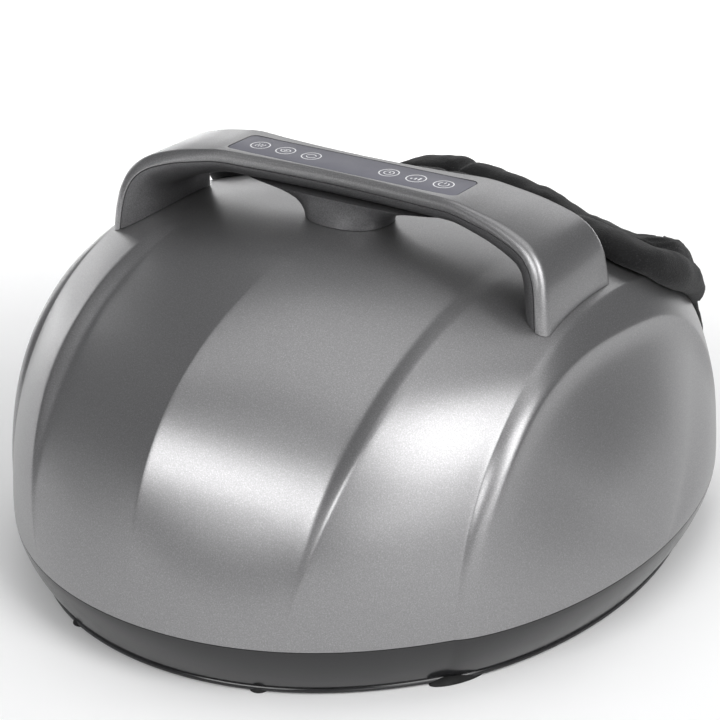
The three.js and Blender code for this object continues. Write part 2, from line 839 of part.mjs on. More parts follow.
// The collar: a puffed roll that lies on the rim and follows the ear creases down
const collarTop = [
  { x: 150, y: 87, half: 23, puff: 8.5 },
  { x: 128, y: 85, half: 23, puff: 7 },
  { x: 100, y: 84, half: 25, puff: 8.2 },
  { x: 60, y: 86, half: 27, puff: 8 },
  { x: 0, y: 86, half: 27, puff: 7 },
];
const collarSide = [
  { angle: 171, half: 6, puff: 3, lean: 0.3 },
  { angle: 162, half: 9, puff: 5, lean: 0.35 },
  { angle: 150, half: 12, puff: 6.5, lean: 0.4 },
  { angle: 137, half: 16, puff: 8.5, lean: 0.4 },
  { angle: 125, half: 20.5, puff: 10.5, lean: 0.3 },
];
const collarGap = 0.9;
const collarFolds = 13;
const foldShare = 0.16;

function collarStations() {
  const side = collarSide.map(({ angle, half, puff, lean }) => {
    const turn = THREE.MathUtils.degToRad(angle);
    const base = archPoint(earPlane, earFullness, turn);
    const step = 0.01;
    const before = archPoint(earPlane, earFullness, turn - step);
    const ahead = before.sub(archPoint(earPlane, earFullness, turn + step));
    const normal = vec(lean, -ahead.z, ahead.y);
    normal.normalize();
    if (normal.z < 0) {
      normal.set(normal.x, -normal.y, -normal.z);
    }
    return { base, normal: vec(lean, normal.y, normal.z).normalize(), half, puff };
  });
  const top = collarTop.map(({ x, y, half, puff }) => (
    { base: vec(x, y, domeHeight(x, y)), normal: domeNormal(x, y), half, puff }));
  const right = [...side, ...top];
  const left = right.slice(0, -1).reverse().map(({ base, normal, half, puff }) => (
    { base: vec(-base.x, base.y, base.z), normal: vec(-normal.x, normal.y, normal.z), half, puff }));
  return [...right, ...left];
}

function openingCollar() {
  const stations = collarStations();
  const centres = stations.map(({ base, normal, puff }) => (
    base.clone().addScaledVector(normal, puff + collarGap)));
  const curve = new THREE.CatmullRomCurve3(centres, false, 'centripetal');
  const steps = 56;
  const rings = [];
  for (let i = 0; i <= steps; i += 1) {
    const share = i / steps;
    const place = curve.getUtoTmapping(share) * (stations.length - 1);
    const low = Math.min(Math.floor(place), stations.length - 2);
    const between = place - low;
    const from = stations[low];
    const to = stations[low + 1];
    const normal = from.normal.clone().lerp(to.normal, between).normalize();
    const tangent = curve.getTangentAt(share);
    const wide = normal.clone().cross(tangent).normalize();
    const up = tangent.clone().cross(wide).normalize();
    const fold = 1 - foldShare * Math.abs(Math.sin(Math.PI * collarFolds * share)) ** 3;
    const half = mix(from.half, to.half, between) * fold;
    const puff = mix(from.puff, to.puff, between);
    const centre = curve.getPointAt(share);
    const ring = [];
    for (let j = 0; j < smallSides; j += 1) {
      const angle = 2 * Math.PI * j / smallSides;
      const lift = Math.sin(angle) * puff * (Math.sin(angle) > 0 ? fold : 1);
      ring.push(centre.clone().addScaledVector(wide, half * Math.cos(angle)).addScaledVector(up, lift));
    }
    rings.push(ring);
  }
  return loft(rings);
}

// Structure under and beside the feet
const shaftReaches = [-frontShaftReach, rearShaftReach];
const padSideGap = 2;

function rollerSlots(side) {
  const half = rollerLength / 2 + rollerClearance;
  const reach = rollerRadius + rollerClearance;
  return shaftReaches.map((y) => rectangle(side * footSpacing - half, y - reach,
    side * footSpacing + half, y + reach));
}

// The plate under a foot, with its wall before the toes
function solePlate(side) {
  const inner = side * (housingHalfWidth + seatGap);
  const outer = side * (sideFrameInner - seatGap);
  const floor = prismZ(rectangle(Math.min(inner, outer), -toeWallReach, Math.max(inner, outer), plateBack),
    soleHeight, soleTop, rollerSlots(side));
  const middle = side * footSpacing;
  const ends = [middle - side * toeWallIn, middle + side * toeWallOut].sort((a, b) => a - b);
  const outline = roundedRectangle(ends[0], soleHeight + 1, ends[1], sideFrameTop, toeWallCorner);
  return joined([floor, prismY(outline, -toeWallReach, -toeWallReach + plateThickness)]);
}

const sideFrameInner = 140;
const sideFrameTop = 106;
const toeWallReach = 182;
const toeWallIn = 46;
const toeWallOut = 32;
const toeWallCorner = 12;
const padFront = 160;
const plateBack = 150;

function solePad(side) {
  const half = pocketHalfWidth - padSideGap;
  const middle = side * footSpacing;
  return prismZ(rectangle(middle - half, -padFront, middle + half, plateBack - 4), soleTop + seatGap, padTop,
    rollerSlots(side));
}

function sideFrame(side) {
  const top = sideFrameTop;
  const outline = [[-160, standing], [132, standing], [132, 84], [112, top], [-140, top], [-160, 92]];
  const seats = shaftReaches.map((y) => circle(bearingOuter + seatGap, roundSides, y, shaftHeight));
  const low = side > 0 ? sideFrameInner : -sideFrameInner - sideFrameThickness;
  return prismX(outline, low, low + sideFrameThickness, seats);
}

const housingFront = 190;
const housingBack = 118;
const standoffRadius = 3.6;
const leadHoleRadius = 5;
const leadHoleDrop = 10;

function centreHousing() {
  const outer = housingHalfWidth;
  const inner = outer - housingWall;
  const outline = [[-outer, standing], [-outer, housingTop], [outer, housingTop], [outer, standing],
    [inner, standing], [inner, housingTop - housingWall], [-inner, housingTop - housingWall],
    [-inner, standing]];
  const body = prismY(outline, -housingFront, housingBack);
  const standoffs = boardScrewPlaces.map(([x, y]) => rodZ(standoffRadius, x, y, housingTop - joinOverlap,
    boardHeight - seatGap, screwSides));
  const holes = [
    ...shaftReaches.map((y) => rodX(bearingOuter, y, shaftHeight, -outer - cutOverrun, outer + cutOverrun)),
    rodZ(leadHoleRadius, 0, leadHole, housingTop - leadHoleDrop, housingTop + cutOverrun, screwSides),
  ];
  return cut(joined([body, ...standoffs]), holes);
}

const boardLift = 5;
const boardHeight = housingTop + boardLift;
const leadHole = 34;
const boardScrewPlaces = [[18, -74], [-18, -74], [18, 14], [-18, 14]];

function chassisPlate() {
  const outline = seamRing(0, 0).map((p) => [p.x * chassisShare, p.y * chassisShare]).reverse();
  const windows = [
    roundedRectangle(40, -40, 120, 5, 6), roundedRectangle(-120, -40, -40, 5, 6),
  ];
  const plate = prismZ(outline, chassisBottom, chassisTop, windows);
  const reliefs = screwPlaces.map(([x, y]) => rodZ(columnRadius + 1, x, y, chassisBottom - 1,
    chassisTop + 1, smallSides));
  return cut(plate, reliefs);
}

// Drive
const gearboxFront = 119;
const gearboxBack = 79;
const gearboxTop = wormHeight + bearingOuter + 4.5;
const gearboxEnd = 8;

function gearboxHalf(side) {
  const low = side > 0 ? seatGap / 2 : -gearboxHalfWidth;
  const high = side > 0 ? gearboxHalfWidth : -seatGap / 2;
  const body = prismX(roundedRectangle(-gearboxFront, standing, gearboxBack, gearboxTop, 5, 2), low, high);
  const cavityLow = side > 0 ? -1 : -gearboxHalfWidth + gearboxWall;
  const cavityHigh = side > 0 ? gearboxHalfWidth - gearboxWall : 1;
  const cavity = prismX(rectangle(-gearboxFront + gearboxEnd, standing + gearboxWall,
    gearboxBack - gearboxEnd, gearboxTop - gearboxWall), cavityLow, cavityHigh);
  const bores = shaftReaches.map((y) => rodX(shaftRadius + runningGap, y, shaftHeight, -20, 20));
  const wormSeat = rodY(bearingOuter + seatGap, 0, wormHeight, 0, gearboxBack + 1);
  const wormBore = rodY(wormJournal + runningGap, 0, wormHeight, -gearboxFront - 1, 0);
  return cut(body, [cavity, ...bores, wormSeat, wormBore]);
}

const axleReach = 148;

function crossShaft(reach) {
  return rodX(shaftRadius, reach, shaftHeight, -axleReach, axleReach);
}

// Wheel teeth lean by the lead of the worm, so that they follow its thread
const toothShares = [[-0.305, -1.13], [-0.135, 0.9], [0.135, 0.9], [0.305, -1.13]];
const wormLead = Math.atan(threadPitch / (2 * Math.PI * wormPitchRadius));

function wormWheel(reach) {
  const outline = [];
  for (let i = 0; i < wheelTeeth; i += 1) {
    for (const [turn, height] of toothShares) {
      const angle = 2 * Math.PI * (i + 0.5 + turn) / wheelTeeth + Math.PI / 2;
      const radius = wheelPitchRadius + height * gearModule;
      outline.push([radius * Math.cos(angle), radius * Math.sin(angle)]);
    }
  }
  const wheel = prismX(outline, -wheelWidth / 2, wheelWidth / 2,
    [circle(shaftRadius + seatGap, roundSides)]);
  const position = wheel.attributes.position;
  for (let i = 0; i < position.count; i += 1) {
    const x = position.getX(i);
    const turn = x * Math.tan(wormLead) / wheelPitchRadius;
    const y = position.getY(i);
    const z = position.getZ(i);
    if (Math.hypot(y, z) > shaftRadius + 1) {
      position.setY(i, y * Math.cos(turn) - z * Math.sin(turn));
      position.setZ(i, y * Math.sin(turn) + z * Math.cos(turn));
    }
  }
  return moved(wheel, 0, reach, shaftHeight);
}

const threadTurns = 3.6;
const threadSteps = 10;
const threadShares = [[-0.31, -1.25], [-0.13, 0.88], [0.13, 0.88], [0.31, -1.25]];
const wormRoot = wormPitchRadius - 1.1 * gearModule;

// A right-hand thread whose crest stands over the wheel's top at rest
function wormThread(reach) {
  const rings = [];
  const total = Math.round(threadTurns * threadSteps / 2) * 2;
  for (let i = 0; i <= total; i += 1) {
    const turns = (i - total / 2) / threadSteps;
    const angle = 2 * Math.PI * turns - Math.PI / 2;
    const fade = Math.min(1, (total / 2 - Math.abs(i - total / 2)) / 4 + 0.2);
    rings.push(threadShares.map(([along, height]) => {
      const radius = wormPitchRadius + (height < 0 ? height : height * fade - (1 - fade)) * gearModule;
      return vec(-radius * Math.cos(angle), reach + threadPitch * (turns + along * (0.7 + 0.3 * fade)),
        wormHeight + radius * Math.sin(angle));
    }));
  }
  return loft(rings, [[0, 1, 2], [0, 2, 3]]);
}

function wormShaft() {
  const core = rodY(wormRoot, 0, wormHeight, -gearboxFront + gearboxEnd + 1, gearboxBack - gearboxEnd - 1,
    threadSteps);
  const journal = rodY(wormJournal, 0, wormHeight, -gearboxFront - motorLength + 8, gearboxBack - 1.2,
    threadSteps);
  return joined([core, journal, wormThread(-frontShaftReach), wormThread(rearShaftReach)]);
}

const wormJournal = 3.2;

function roller(side, reach) {
  const rings = [];
  const bands = 3;
  const sides = 20;
  const lobes = 5;
  const twistShare = 0.5;
  for (let band = 0; band < bands; band += 1) {
    for (const end of [0.08, 0.92]) {
      const ring = [];
      for (let j = 0; j < sides; j += 1) {
        const angle = 2 * Math.PI * j / sides;
        const wave = Math.cos(lobes * angle + Math.PI * band * 2 * twistShare);
        const radius = rollerRadius - rollerLobe + rollerLobe * wave;
        ring.push(vec(side * footSpacing + rollerLength * ((band + end) / bands - 0.5),
          reach + radius * Math.cos(angle), shaftHeight + radius * Math.sin(angle)));
      }
      rings.push(ring);
    }
  }
  const bore = rodX(shaftRadius + seatGap, reach, shaftHeight, side * footSpacing - rollerLength,
    side * footSpacing + rollerLength);
  return cut(loft(rings), [bore]);
}

function motorCan() {
  const back = -gearboxFront - seatGap;
  const front = back - motorLength;
  const outer = rodY(motorRadius, 0, wormHeight, front + 6, back);
  const hollow = rodY(motorRadius - 2, 0, wormHeight, front, back - 3);
  const hole = rodY(wormJournal + runningGap + 1, 0, wormHeight, front, back + 1);
  return cut(outer, [hollow, hole]);
}

function motorEndBell() {
  const back = -gearboxFront - seatGap - motorLength + 6 - seatGap;
  const cap = rodY(motorRadius, 0, wormHeight, back - 6, back);
  const bore = rodY(wormJournal + runningGap + 0.6, 0, wormHeight, back - 4, back + 1);
  return cut(cap, [bore]);
}

function motorRotor() {
  const back = -gearboxFront - seatGap - 8;
  const body = rodY(motorRadius - 4, 0, wormHeight, back - motorLength + 22, back);
  return cut(body, [rodY(wormJournal + seatGap, 0, wormHeight, back - motorLength, back + 1, threadSteps)]);
}

// Air system, in the left ear and over the pockets
const pumpRadius = 20;
const pumpFootHalf = 15;
const pumpClearance = 15;
const pumpReach = sideFrameInner + sideFrameThickness + pumpClearance + pumpFootHalf;
const pumpLift = 3;
const pumpFront = 14;
const pumpBack = 52;
const pumpFootFront = 6;
const pumpFootBack = 44;
const pumpFootSink = 4;

function airPump() {
  const middle = standing + pumpRadius + pumpLift;
  const can = rodY(pumpRadius, -pumpReach, middle, -pumpFront, pumpBack);
  const foot = block(-pumpReach - pumpFootHalf, -pumpReach + pumpFootHalf, -pumpFootFront, pumpFootBack,
    standing, middle - pumpRadius + pumpFootSink);
  const outlet = rodY(nippleRadius, -pumpReach, valveInlet, valveBack + seatGap, joinOverlap - pumpFront,
    screwSides);
  return joined([can, foot, outlet]);
}

const valveTop = 52;
const valveBack = -38;
const valveInlet = standing + pumpRadius;
const valveHalf = 13;
const valveLength = 28;
const nippleRadius = 2.5;
const nippleLength = 7;
const nippleStep = 6;
const leftNippleFront = 46;
const rightNippleFront = 60;

function valveBlock() {
  const body = block(-pumpReach - valveHalf, -pumpReach + valveHalf, valveBack - valveLength, valveBack,
    standing, valveTop);
  const places = [[-pumpReach, -rightNippleFront], [-pumpReach + nippleStep, -leftNippleFront]];
  const nipples = places.map(([x, y]) => rodZ(nippleRadius, x, y, valveTop - joinOverlap,
    valveTop + nippleLength, screwSides));
  return joined([body, ...nipples]);
}

const airbagHalf = 44;
const airbagFront = -112;
const airbagBack = 8;
const airbagThickness = 11;
const airbagSeam = 1;

const sleeveTopAt = (y) => mix(instepHeight, archHeight, (y + instepTop) / (instepTop - archTop));

function airbag(side) {
  const rows = 8;
  const columns = 8;
  const low = [];
  const high = [];
  for (let i = 0; i <= rows; i += 1) {
    for (let j = 0; j <= columns; j += 1) {
      const y = mix(airbagFront, airbagBack, i / rows);
      const x = side * footSpacing + mix(-airbagHalf, airbagHalf, j / columns);
      const crown = (Math.sin(Math.PI * i / rows) * Math.sin(Math.PI * j / columns)) ** 0.4;
      const base = sleeveTopAt(y) + heaterThickness + 3 * seatGap;
      low.push(vec(x, y, base));
      high.push(vec(x, y, base + airbagSeam + (airbagThickness - airbagSeam) * crown));
    }
  }
  const faces = [];
  const stride = columns + 1;
  const start = low.length;
  for (let i = 0; i < rows; i += 1) {
    for (let j = 0; j < columns; j += 1) {
      const a = i * stride + j;
      faces.push([a, a + stride, a + 1], [a + 1, a + stride, a + stride + 1]);
      faces.push([start + a, start + a + 1, start + a + stride],
        [start + a + 1, start + a + stride + 1, start + a + stride]);
    }
  }
  const rim = [];
  for (let j = 0; j < columns; j += 1) rim.push(j);
  for (let i = 0; i < rows; i += 1) rim.push(i * stride + columns);
  for (let j = columns; j > 0; j -= 1) rim.push(rows * stride + j);
  for (let i = rows; i > 0; i -= 1) rim.push(i * stride);
  rim.forEach((a, k) => {
    const b = rim[(k + 1) % rim.length];
    faces.push([a, b, b + start], [a, b + start, a + start]);
  });
  return geometryOf([...low, ...high], faces);
}

const heaterThickness = 1;
const heaterInset = 6;
const heaterMargin = 8;
const heaterLift = 0.2;

function heaterFilm(side) {
  const slope = [airbagFront + heaterInset, airbagBack - heaterInset].map((y) => [y,
    sleeveTopAt(y) + seatGap + heaterLift]);
  const outline = [slope[0], slope[1], [slope[1][0], slope[1][1] + heaterThickness],
    [slope[0][0], slope[0][1] + heaterThickness]];
  return prismX(outline, side * footSpacing - airbagHalf + heaterMargin,
    side * footSpacing + airbagHalf - heaterMargin);
}

const hoseRadius = 3;
const hoseEndGap = 1;
const bagEntryFront = 50;
const bagEntryLift = 8;
const bagEntryHeight = sleeveTopAt(-bagEntryFront) + bagEntryLift;
// The hoses' routes, as chosen between the valve block and the air bags
const leftHoseRoute = [[0, -46, 90], [4, -47, 130], [16, -49, 150]];
const leftHoseTurn = 32;
const rightHoseRise = [[0, -61, 95], [8, -66, 140], [40, -74, 172]];
const rightHoseBridge = [[-90, -78, 182], [0, -80, 190], [90, -78, 182], [126, -70, 174], [138, -58, 164]];

function leftAirHose() {
  const x = -pumpReach + nippleStep;
  return tubeAlong([vec(x, -leftNippleFront, valveTop + nippleLength + seatGap),
    ...leftHoseRoute.map(([step, y, z]) => vec(x + step, y, z)),
    vec(x + leftHoseTurn, -bagEntryFront, bagEntryHeight),
    vec(-footSpacing - airbagHalf - hoseEndGap, -bagEntryFront, bagEntryHeight)], hoseRadius, 18);
}

function rightAirHose() {
  const x = -pumpReach;
  return tubeAlong([vec(x, -rightNippleFront, valveTop + nippleLength + seatGap),
    ...rightHoseRise.map(([step, y, z]) => vec(x + step, y, z)),
    ...rightHoseBridge.map(([across, y, z]) => vec(across, y, z)),
    vec(footSpacing + airbagHalf + hoseEndGap, -bagEntryFront, bagEntryHeight)], hoseRadius, 34);
}

// Electrics
const boardHalf = 22;
const boardFront = 80;
const boardBack = 20;
const boardHoleRadius = 1.7;
const solderSink = 0.5;
const relay = { left: -14, right: -2, front: -60, back: -40, tall: 9 };
const capacitor = { left: 3, right: 15, front: -66, back: -54, tall: 14 };
const controlChip = { left: -10, right: 8, front: -8, back: 8, tall: 3 };

function mainBoard() {
  const top = boardHeight + boardThickness;
  const board = block(-boardHalf, boardHalf, -boardFront, boardBack, boardHeight, top);
  const parts = [relay, capacitor, controlChip].map((part) => (
    block(part.left, part.right, part.front, part.back, top - solderSink, top + part.tall)));
  const holes = boardScrewPlaces.map(([x, y]) => rodZ(boardHoleRadius, x, y, boardHeight - joinOverlap,
    top + joinOverlap, screwSides));
  return cut(joined([board, ...parts]), holes);
}

const touchChip = { left: -52, right: -40, half: 5, tall: 1.2, sunk: 0.2 };
const ribbonHalf = 5;
const ribbonThicknessHalf = 0.5;

function touchBoard() {
  const top = handleHeight - handleWall - seatGap;
  const middle = -(handleMiddleFront + handleMiddleBack) / 2 - panelStep;
  const board = block(-touchBoardLength / 2, touchBoardLength / 2, middle - touchBoardWidth / 2,
    middle + touchBoardWidth / 2, top - boardThickness, top);
  const chip = block(touchChip.left, touchChip.right, middle - touchChip.half, middle + touchChip.half,
    top - boardThickness - touchChip.tall, top - boardThickness + touchChip.sunk);
  return joined([board, chip]);
}

function touchRibbon() {
  const top = handleHeight - handleWall - 2 * seatGap - boardThickness;
  return block(-ribbonHalf, ribbonHalf, -pedestalReach - ribbonThicknessHalf,
    -pedestalReach + ribbonThicknessHalf, boardHeight + boardThickness + seatGap, top);
}

function controlPanel() {
  return prismZ(panelOutline(0), handleHeight - panelThickness, handleHeight);
}

const inletHalf = 8;
const inletDepth = 20;
const inletStep = 4;
const inletRise = 8;
const barrelDepth = 10;
const barrelSink = 0.5;
const boreDepth = 9;
const boreRadius = 2.8;

function dcInlet() {
  const wall = backReachAt(jackPlace) - trayInsetAt(jackHeight);
  const body = block(jackPlace - inletHalf, jackPlace + inletHalf, wall - inletDepth,
    wall - trayWall - inletStep, standing, jackHeight + inletRise);
  const barrel = rodY(jackRadius, jackPlace, jackHeight, wall - barrelDepth, wall - barrelSink);
  const bore = rodY(boreRadius, jackPlace, jackHeight, wall - boreDepth, wall + joinOverlap, screwSides);
  return cut(joined([body, barrel]), [bore]);
}

const leadRadius = 2.2;
const leadStraight = 4;
// The lead's route, as chosen between the inlet and the hole in the housing
const leadRoute = [[34, 128, 26], [12, 124, 50], [0, 112, 96], [0, 80, 118], [0, 46, 128]];
const leadRiseHeight = 142;
const leadEndStep = 1;

function powerLead() {
  const inlet = backReachAt(jackPlace) - trayInsetAt(jackHeight) - inletDepth;
  const steps = [seatGap, leadStraight, 2 * leadStraight];
  const starts = steps.map((step) => vec(jackPlace, inlet - step, jackHeight));
  return tubeAlong([...starts, ...leadRoute.map((point) => vec(...point)),
    vec(0, leadHole, leadRiseHeight), vec(0, leadHole - leadEndStep, housingTop + leadEndStep)],
  leadRadius, 26, 6);
}

// Fasteners
function handleScrew([x, y]) {
  const inside = domeHeight(x, y) - shellWall - screwHeadHeight - handleScrewDrop;
  return screw(x, y, inside, screwHead, screwHeadHeight, screwRadius, handleScrewLength);
}

function baseScrew([x, y]) {
  return screw(x, y, trayBottom + screwRecess - screwHeadHeight - seatGap, screwHead, screwHeadHeight,
    screwRadius, seamHeight + baseScrewBite - trayBottom);
}

const handleScrewDrop = 2.2;
const handleScrewLength = 14;
const baseScrewBite = 12;

addPiece('upper_shell', upperShell(), 'silverPaint');
addPiece('base_tray', baseTray(), 'glossGrey');
addPiece('handle_cover', handleCover(), 'silverPaint');
addPiece('handle_liner', handleLiner(), 'linerGrey');
addPiece('control_panel', controlPanel(), 'panelFilm');
addPiece('touch_board', touchBoard(), 'board');
addPiece('touch_ribbon', touchRibbon(), 'ivoryPlastic');
addPiece('main_board', mainBoard(), 'board');
addPiece('opening_collar', openingCollar(), 'blackCloth');
addPiece('rear_cover_cloth', rearCloth(), 'blackCloth');
addPiece('centre_housing', centreHousing(), 'blackPlastic');
addPiece('chassis_plate', chassisPlate(), 'blackPlastic');
for (const [name, side] of [['left', -1], ['right', 1]]) {
  addPiece(`${name}_foot_sleeve`, footSleeve(side), 'blackCloth');
  addPiece(`${name}_sole_plate`, solePlate(side), 'blackPlastic');
  addPiece(`${name}_sole_pad`, solePad(side), 'foam');
  addPiece(`${name}_side_frame`, sideFrame(side), 'blackPlastic');
  addPiece(`${name}_airbag`, airbag(side), 'airbag');
  addPiece(`${name}_heater_film`, heaterFilm(side), 'amberFilm');
  addPiece(`gearbox_${name}`, gearboxHalf(side), 'ivoryPlastic');
}
for (const [end, reach] of [['front', -frontShaftReach], ['rear', rearShaftReach]]) {
  addPiece(`${end}_cross_shaft`, crossShaft(reach), 'steel');
  addPiece(`${end}_worm_wheel`, wormWheel(reach), 'ivoryPlastic');
  for (const [name, side] of [['left', -1], ['right', 1]]) {
    addPiece(`${end}_${name}_roller`, roller(side, reach), 'ivoryPlastic');
    const bearing = side * (sideFrameInner + sideFrameThickness / 2);
    addPiece(`${end}_${name}_bearing`, ringX(bearingOuter, shaftRadius + runningGap, reach, shaftHeight,
      bearing - bearingWidth / 2, bearing + bearingWidth / 2), 'steel');
  }
}
addPiece('worm_shaft', wormShaft(), 'steel');
addPiece('worm_bearing', ringY(bearingOuter, wormJournal + runningGap, 0, wormHeight,
  gearboxBack - bearingWidth, gearboxBack), 'steel');
addPiece('motor_can', motorCan(), 'steel');
addPiece('motor_end_bell', motorEndBell(), 'blackPlastic');
addPiece('motor_rotor', motorRotor(), 'bronze');
addPiece('air_pump', airPump(), 'blackPlastic');
addPiece('valve_block', valveBlock(), 'ivoryPlastic');
addPiece('left_air_hose', leftAirHose(), 'hose');
addPiece('right_air_hose', rightAirHose(), 'hose');
addPiece('dc_inlet', dcInlet(), 'blackPlastic');
addPiece('power_lead', powerLead(), 'rubber');
for (const [corner, i] of [['front_right', 0], ['front_left', 1], ['rear_right', 2], ['rear_left', 3]]) {
  const footTop = trayBottom + footSink - seatGap;
  addPiece(`${corner}_foot`, rodZ(footRadius, ...footPlaces[i], 0, footTop), 'rubber');
  addPiece(`${corner}_base_screw`, baseScrew(screwPlaces[i]), 'steel');
}
addPiece('right_handle_screw', handleScrew(handleScrewPlaces[0]), 'steel');
addPiece('left_handle_screw', handleScrew(handleScrewPlaces[1]), 'steel');

massager.position.y = (frontReach - backReach) / 2;

export default massager;
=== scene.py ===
import json
import math

import bmesh
import bpy
import numpy as np
from mathutils import Matrix, Vector, noise
from mathutils.bvhtree import BVHTree


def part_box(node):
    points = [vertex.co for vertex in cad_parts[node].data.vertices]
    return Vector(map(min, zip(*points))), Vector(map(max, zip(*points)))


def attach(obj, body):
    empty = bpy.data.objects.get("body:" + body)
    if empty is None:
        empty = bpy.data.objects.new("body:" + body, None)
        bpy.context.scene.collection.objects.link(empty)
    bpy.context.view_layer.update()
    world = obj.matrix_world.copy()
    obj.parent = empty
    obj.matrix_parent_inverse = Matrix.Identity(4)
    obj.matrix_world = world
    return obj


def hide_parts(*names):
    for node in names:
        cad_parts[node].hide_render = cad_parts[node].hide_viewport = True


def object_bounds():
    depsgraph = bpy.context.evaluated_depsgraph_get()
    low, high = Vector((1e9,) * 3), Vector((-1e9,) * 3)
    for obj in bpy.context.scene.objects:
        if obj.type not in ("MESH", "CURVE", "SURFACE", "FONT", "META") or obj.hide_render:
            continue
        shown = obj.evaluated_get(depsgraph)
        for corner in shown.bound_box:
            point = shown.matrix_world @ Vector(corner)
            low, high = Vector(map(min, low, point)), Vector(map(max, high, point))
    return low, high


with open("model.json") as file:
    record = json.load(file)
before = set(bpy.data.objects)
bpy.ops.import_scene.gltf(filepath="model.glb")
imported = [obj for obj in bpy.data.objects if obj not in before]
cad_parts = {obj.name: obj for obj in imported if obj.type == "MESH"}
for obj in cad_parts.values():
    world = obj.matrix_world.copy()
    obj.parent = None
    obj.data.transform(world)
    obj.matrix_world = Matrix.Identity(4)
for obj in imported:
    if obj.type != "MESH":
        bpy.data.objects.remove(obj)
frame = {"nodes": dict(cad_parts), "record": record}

# Electric foot massager, in metres: a painted dome on a glossy tray, a carrying handle with a touch
# panel, and black cloth round the two foot pockets at the back. -Y is the toe side, +Z is up.
cad_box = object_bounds()
shell_low, shell_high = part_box("upper_shell")

# Camera of the photograph
CAMERA_PLACE = Vector((0.66867, -1.00707, 0.66596))
CAMERA_AIM = Vector((-0.07733, 0.13822, 0.04806))
CAMERA_LENS = 0.10448
SENSOR = 0.036
MILLIMETRES = 1000

# Studio: each lamp's name, place, aim, size, watts and spread in degrees
SKY_COLOUR = (0.97, 0.98, 1.0, 1)
SKY_STRENGTH = 0.24
FLOOR_REACH = 4
LAMPS = (
    ("key_right", (1.6, -0.6, 1.5), (0.05, -0.05, 0.1), (0.95, 1.35), 25, 180),
    ("key_front", (0.15, -1.95, 1.3), (0.0, -0.05, 0.1), (1.3, 0.8), 20, 180),
    ("overhead", (0.0, 0.0, 2.1), (0, 0, 0), (1.8, 1.8), 10, 180),
    ("low_right", (1.75, -1.0, 0.5), (0, 0, 0.1), (1.3, 0.5), 5, 180),
    ("left_strip", (-1.9, 0.5, 0.25), (0, 0, 0.1), (0.25, 0.9), 2, 180),
    ("left_back", (-1.55, 1.15, 0.35), (0, 0, 0.15), (1.0, 0.3), 2.2, 180),
    ("backdrop", (-0.7, 2.3, 1.25), (0, 0, 0.15), (2.4, 0.9), 10, 180),
    ("rear_floor", (-1.3, 1.9, 1.7), (-1.3, 1.9, 0), (2.6, 1.8), 60, 75),
    ("left_floor", (-1.75, -0.2, 1.5), (-1.75, -0.2, 0), (1.6, 2.2), 13, 60),
)

# Dome
FRONT_REACH = 0.250
BACK_REACH = 0.190
MIDDLE_Y = shell_low.y + FRONT_REACH
SEAM = shell_low.z
DOME_RISE = shell_high.z - shell_low.z
SHELL_WALL = 0.003
EAR_PLANE = 0.164
EAR_FRONT_REACH = 0.164
EAR_BACK_REACH = 0.172
EAR_PLANE_DROP = 0.0255
EAR_BULGE = 0.052
ROLL_REACH = 0.012
ROLL_TOP_REACH = 0.016
EAR_DISH = 0.004
PLEAT_FOOT = 0.087
PLEAT_VALLEY_TOP = 0.103
PLEAT_CREST_TOP = 0.115
FRONT_BOW_SHARE = 0.8
BACK_BOW_SHARE = 0.35
CREST_FULLNESS = 2.4
EAR_FULLNESS = 2.15
FULLNESSES = (2.6, 2.17, CREST_FULLNESS, EAR_FULLNESS)  # at the keel, the valley, the crest and the ear
ROLL_EDGE_SHARE = 0.965
ROLL_TOP_SHARE = 0.865
ROLL_LOW_SHARE = 0.6
ROLL_HIGH_SHARE = 0.9
ROLL_PLACE = 0.12
DISH_SHARE = 1.4
SKIRT_SHARE = 0.8
VALLEY_POWER, CREST_POWER = 0.75, 1.6
FLAT_SHARE, FLAT_START, FLAT_END = 0.85, 0.45, 0.35
ALOFT_START, ALOFT_RUN = 0.27, 0.3
DISH_START, DISH_RUN = 0.12, 0.5
RAISED_SINE = 0.7
START_POWER = 1.5
ROUNDS = (0.0009, 0.0022, 0.0014, 0.0009)  # at the keel, the valley, the crest and the ear's crease
ROLL_ROUND = 0.0036
ROLL_TOP_ROUND = 0.0016
POLE_ROUND = 0.001
DOME_ROWS = 161
SEAM_STEP = 0.0005
CUT_MARGIN = 0.001

# Rear opening
RIM_REACH = 0.072
OPENING_HALF = 0.161
SILL = 0.054
OPENING_CORNER = 0.022

# Tray
TRAY_BOTTOM = 0.0016
TRAY_INSET = 0.0155
TRAY_CURVE = 1.5
TRAY_GAP = 0.0003
TRAY_STEPS = 14
LIP_STEPS = 6
RIM_INSET = 0.0005
RIM_EDGE = 0.0001
LIP = 0.0012
LIP_DRAW = 0.4
TRAY_WALL = 0.003
TRAY_FLOOR = 0.0060
TRAY_SINK = 0.001
TRAY_SCREWS = ((0.070, -0.175), (0.180, 0.105))
BOSSES = ((0.060, -0.120), (0.110, 0.030), (0.060, 0.140))
FEET = ((0.112, -0.120), (0.118, 0.148))
COLUMN_RADIUS = 0.0052
BOSS_RADIUS = 0.005
BOSS_TOP = TRAY_FLOOR + 0.0057
SCREW_RADIUS = 0.0021
SCREW_HEAD = 0.0039
SCREW_RECESS = 0.0062
FOOT_RADIUS = 0.0113
FOOT_SEAT = 0.0040
VENT_REACH = 0.080
VENT_PITCH = 0.009
VENT_WIDTH = 0.0035
VENT_LENGTH = 0.036
VENT_MIDDLE = 0.030
INLET_PLACE = 0.062
INLET_HEIGHT = 0.020
INLET_RADIUS = 0.0058
INLET_CUT = (0.12, 0.3)
RIM_PLAY = 0.0002
FLOOR_PLAY = 0.0002
